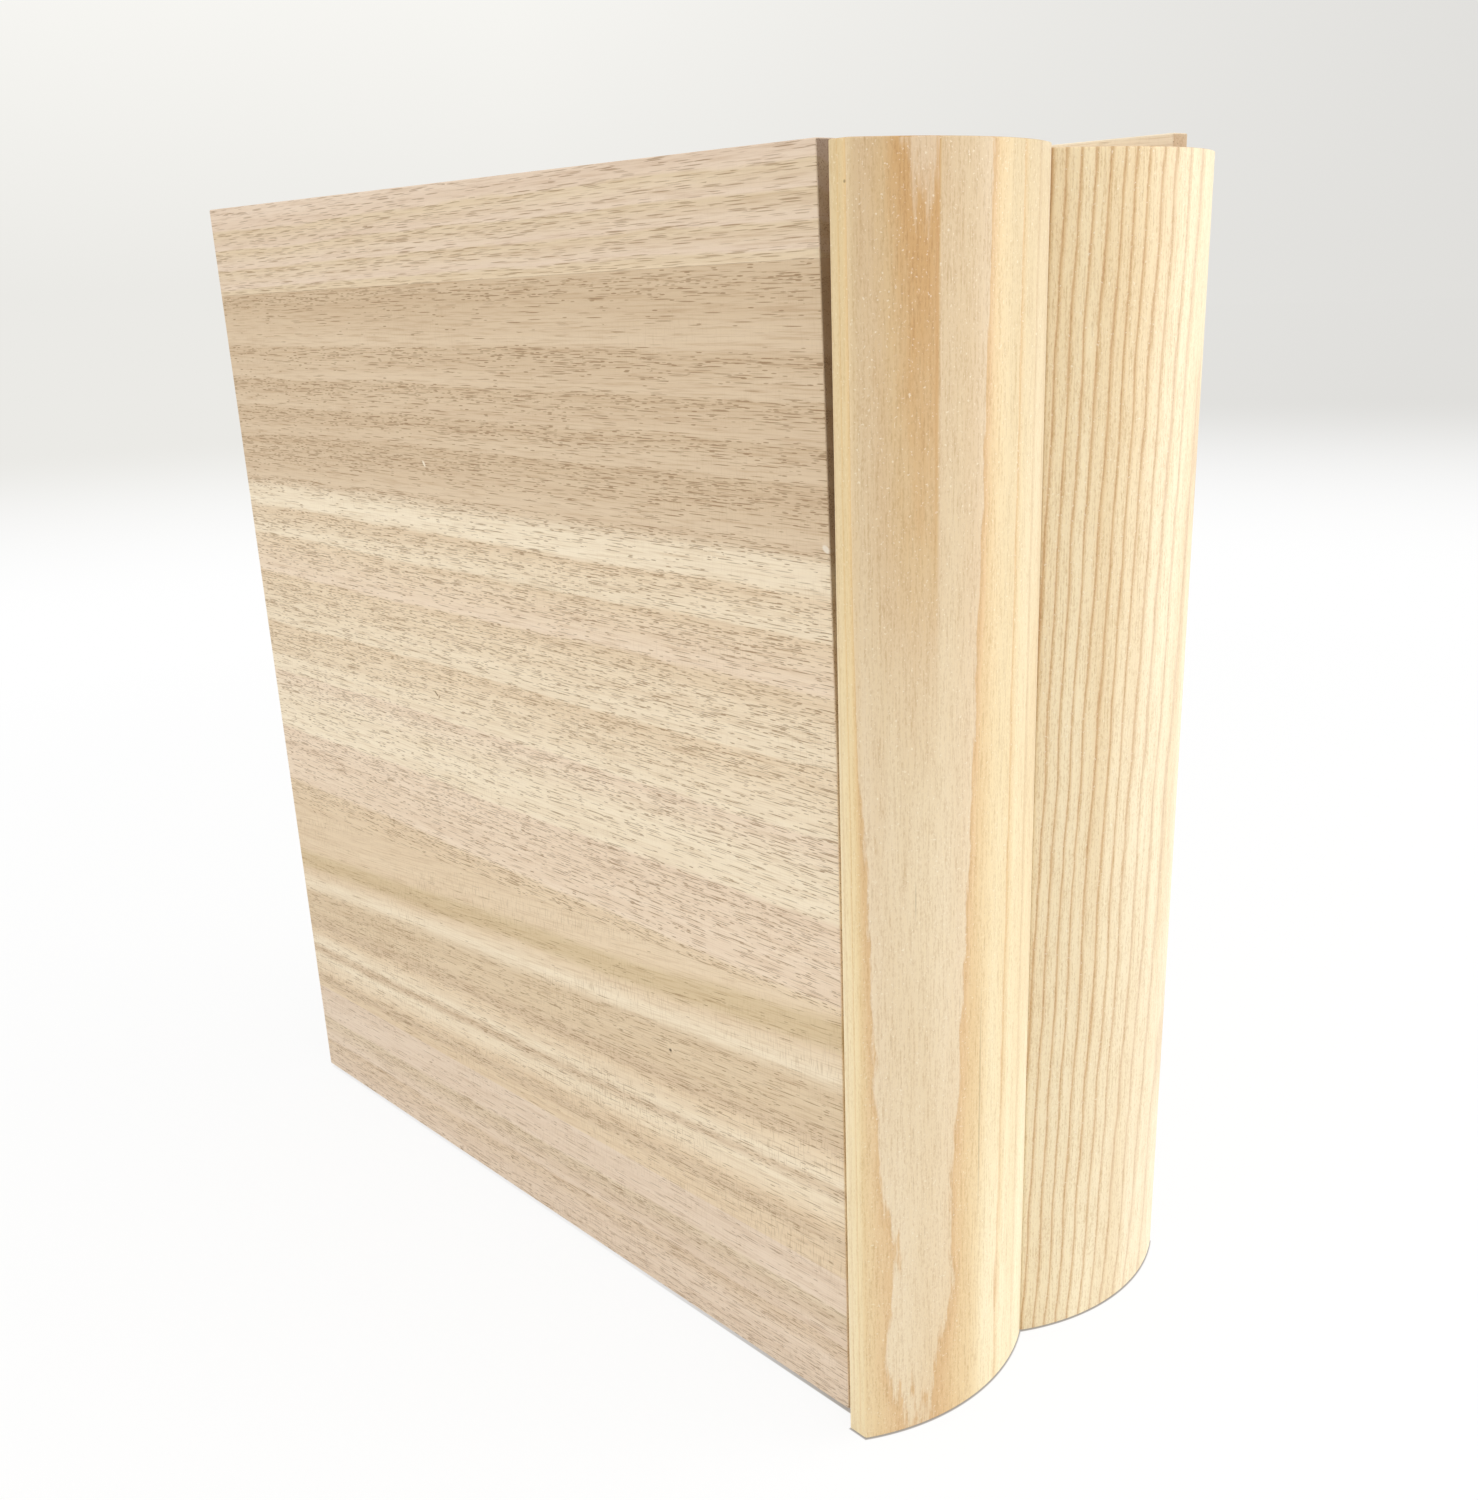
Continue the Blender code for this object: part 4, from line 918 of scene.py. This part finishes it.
def metal(name, colour, dark, roughness, scratch_mm):
    """Bare metal: its colour dulls in soft clouds a few mm wide, and fine scratches run one way.

    Real scratches are a few hundredths of a millimetre wide, and are drawn coarser so they show.
    """
    material, tree = new_material(name)
    place = add_node(tree, "TexCoord", out=3)
    mm = add_node(tree, "Mapping", {0: place, "Scale": (MM, MM, MM)})
    cloud = add_node(tree, "TexNoise", {0: mm, "Scale": 0.45, "Detail": 4.0})
    tint = set_ramp(add_node(tree, "ValToRGB", {0: cloud}), ((0.35, dark), (0.62, colour)), (0, 1))
    scratch = add_node(tree, "Mapping", {0: mm, "Scale": (1 / scratch_mm, 1 / scratch_mm, 0.15)})
    scratch = add_node(tree, "TexNoise", {0: scratch, "Scale": 1.0, "Detail": 2.0})
    dull = add_node(tree, "MapRange", {0: scratch, 1: 0.3, 2: 0.7, 3: roughness - 0.08,
                                       4: roughness + 0.10})
    bump = add_node(tree, "Bump", {"Strength": 0.12, "Distance": 0.00004, "Height": scratch})
    surface = add_node(tree, "BsdfPrincipled", {
        "Base Color": tint, "Metallic": 1.0, "Roughness": dull, "Normal": bump})
    add_node(tree, "OutputMaterial", {0: surface})
    return material


def turned_piece(name, profile, steps, material, thread=None):
    """A piece turned round the z axis from a profile of (radius, height), closed at both ends.

    Point = (r cos a, r sin a, h). A thread (pitch, depth, top, bottom) draws the radius in between
    two heights by depth x (1 + cos(2 pi h / pitch - a)) / 2.
    """
    radius, height = np.array(profile).T[:, :, None]
    angle = np.linspace(0, 2 * np.pi, steps, endpoint=False)[None]
    if thread:
        pitch, depth, top, bottom = thread
        cut = depth * (1 + np.cos(2 * np.pi * height / pitch - angle)) / 2
        radius = radius - cut * ((height < top) & (height > bottom))
    x, y, z = np.broadcast_arrays(radius * np.cos(angle), radius * np.sin(angle), height)
    rows = len(profile)
    caps = [list(range(steps)), list(range((rows - 1) * steps, rows * steps))]
    points = np.stack([x, y, z], axis=-1).reshape(-1, 3)
    return new_piece(name, points, wrap_faces(rows, steps) + caps, material)


def put_in_place(piece, place, turn, node, body):
    """Shade a turned piece, move its mesh to its place, and let it stand for its CAD node."""
    smooth_by_angle(piece)
    piece.data.transform(Matrix.Translation(place) @ turn)
    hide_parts(node)
    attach(piece, body)


LEAF_ARRIS = 0.00008
PIN_STEPS = 32
PIN_END = ((0.00010, 0.0), (0.00032, 0.00003), (0.00044, 0.00010), (0.00050, 0.00022))

# rolled strip keeps the fine lines of the rollers, so it looks satin rather than bright
rolled_brass = metal("rolled_brass", "#e1c993", "#cfb173", 0.34, 0.12)
for label in ("lower", "upper"):
    for leaf_name, body in (("lid_leaf", "lid"), ("frame_leaf", "box")):
        node = f"{label}_hinge_{leaf_name}"
        leaf = eased_copy(node, node + "_rolled", LEAF_ARRIS)
        leaf.data.materials.append(rolled_brass)
        smooth_by_angle(leaf, degrees=35)
        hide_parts(node)
        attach(leaf, body)
    node = f"{label}_hinge_pin"
    low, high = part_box(node)
    length = high.z - low.z
    pin = turned_piece(
        node + "_cut",
        [(r, -h) for r, h in PIN_END] + [(r, h - length) for r, h in reversed(PIN_END)],
        PIN_STEPS, rolled_brass)
    middle = ((low.x + high.x) / 2, (low.y + high.y) / 2, high.z)
    put_in_place(pin, middle, Matrix(), node, "box")


# --- Screws and nails
# Turned brass: slotted countersunk screws hold the frame leaves, and short domed nails hold the lid
# leaves, because the lid is too thin for a screw.

FASTENER_STEPS = 36
TIP_RADIUS = 0.00005
HEAD_HEIGHT = 0.0004
HEAD_CHAMFER = (0.00004, 0.00003)
SCREW_HEAD, SCREW_SHANK = 0.0011, 0.0006
NAIL_HEAD, NAIL_SHANK = 0.0010, 0.00045
NAIL_DOME = 0.00008
SLOT_HALF_WIDTH, SLOT_DEPTH = 0.00015, 0.00018
SLOT_FLOOR_SHARE = 0.93
THREAD_PITCH, THREAD_DEPTH = 0.0006, 0.00015
THREAD_ROWS_PER_TURN = 6
THREAD_TOP, THREAD_END_GAP = -0.0015, 0.0001
SCREW_TURNS = (0.35, 1.9, 1.2, 2.6)
# turning leaves finer lines than rolling, so screws and nails are a little brighter than the leaves
turned_brass = metal("turned_brass", "#e0c68c", "#cdae6e", 0.28, 0.08)


def cut_slot(piece):
    """Cut a screw's slot along x: split the head along its sides and sink what lies between.

    Points with |y| < half width x floor share and above the slot's depth move down to it, and in
    to the countersink's radius there: head - (head - shank) x depth / head height.
    """
    mesh = piece.data
    shape = bmesh.new()
    shape.from_mesh(mesh)
    for y in (-1, -SLOT_FLOOR_SHARE, SLOT_FLOOR_SHARE, 1):
        bmesh.ops.bisect_plane(shape, geom=shape.verts[:] + shape.edges[:] + shape.faces[:],
                               plane_co=(0, y * SLOT_HALF_WIDTH, 0), plane_no=(0, 1, 0))
    shape.to_mesh(mesh)
    shape.free()
    points = np.empty(3 * len(mesh.vertices), np.float32)
    mesh.vertices.foreach_get("co", points)
    points = points.reshape(-1, 3)
    floor = SLOT_HALF_WIDTH * (SLOT_FLOOR_SHARE + 1) / 2
    sunk = (np.abs(points[:, 1]) < floor) & (points[:, 2] > -SLOT_DEPTH)
    reach = SCREW_HEAD - (SCREW_HEAD - SCREW_SHANK) * SLOT_DEPTH / HEAD_HEIGHT
    radius = np.hypot(points[:, 0], points[:, 1])
    points[sunk, 0] *= np.minimum(1, reach / np.maximum(radius[sunk], 1e-9))
    points[sunk, 2] = -SLOT_DEPTH
    mesh.vertices.foreach_set("co", points.ravel())
    mesh.update()


for number, node in enumerate(sorted(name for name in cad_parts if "_hinge_screw_" in name)):
    low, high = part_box(node)
    length = high.x - low.x
    tip = SCREW_SHANK - length
    rows = int((-HEAD_HEIGHT - tip) / THREAD_PITCH * THREAD_ROWS_PER_TURN)
    shank = [(SCREW_SHANK, h) for h in np.linspace(-HEAD_HEIGHT, tip, rows)]
    screw = turned_piece(
        node + "_turned",
        [(SCREW_HEAD - HEAD_CHAMFER[0], 0), (SCREW_HEAD, -HEAD_CHAMFER[1]), *shank,
         (TIP_RADIUS, -length)],
        FASTENER_STEPS, turned_brass,
        (THREAD_PITCH, THREAD_DEPTH, THREAD_TOP, tip + THREAD_END_GAP))
    cut_slot(screw)
    turn = Matrix.Rotation(-math.pi / 2, 4, "Y") @ Matrix.Rotation(SCREW_TURNS[number], 4, "Z")
    head = (low.x, (low.y + high.y) / 2, (low.z + high.z) / 2)
    put_in_place(screw, head, turn, node, "box")

for node in sorted(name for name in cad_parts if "_hinge_nail_" in name):
    low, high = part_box(node)
    length = high.x - low.x
    share = np.linspace(0.15, 1, 7)
    rim = NAIL_HEAD - (NAIL_HEAD - NAIL_SHANK) * NAIL_DOME / HEAD_HEIGHT
    dome = [(rim * s, -NAIL_DOME * s ** 2) for s in share]
    nail = turned_piece(
        node + "_turned",
        [*dome, (NAIL_SHANK, -HEAD_HEIGHT), (NAIL_SHANK, NAIL_SHANK - length),
         (TIP_RADIUS, -length)],
        FASTENER_STEPS, turned_brass)
    head = (high.x, (low.y + high.y) / 2, (low.z + high.z) / 2)
    put_in_place(nail, head, Matrix.Rotation(math.pi / 2, 4, "Y"), node, "lid")


# --- Magnets
# A pair of nickel-plated discs face each other across the rim, halfway up the fore edge. They hold
# the lid shut. Each is pressed and plated, so its edges are round.

MAGNET_EDGE = 0.00022
MAGNET_STEPS = 96
# nickel plating is smooth and cool grey, the brightest metal here
nickel_plate = metal("nickel_plate", "#cfcecb", "#bdbbb6", 0.24, 0.2)
for node, body, side in (("lid_magnet", "lid", 1), ("frame_magnet", "box", -1)):
    low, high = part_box(node)
    thickness, full = high.x - low.x, (high.z - low.z) / 2
    a = np.linspace(0, math.pi / 2, 6)
    edge = [(full - MAGNET_EDGE * (1 - math.sin(t)), -MAGNET_EDGE * (1 - math.cos(t))) for t in a]
    profile = edge + [(r, -thickness - h) for r, h in reversed(edge)]
    magnet = turned_piece(node + "_plated", profile, MAGNET_STEPS, nickel_plate)
    face = (high.x if side > 0 else low.x, (low.y + high.y) / 2, (low.z + high.z) / 2)
    put_in_place(magnet, face, Matrix.Rotation(side * math.pi / 2, 4, "Y"), node, body)
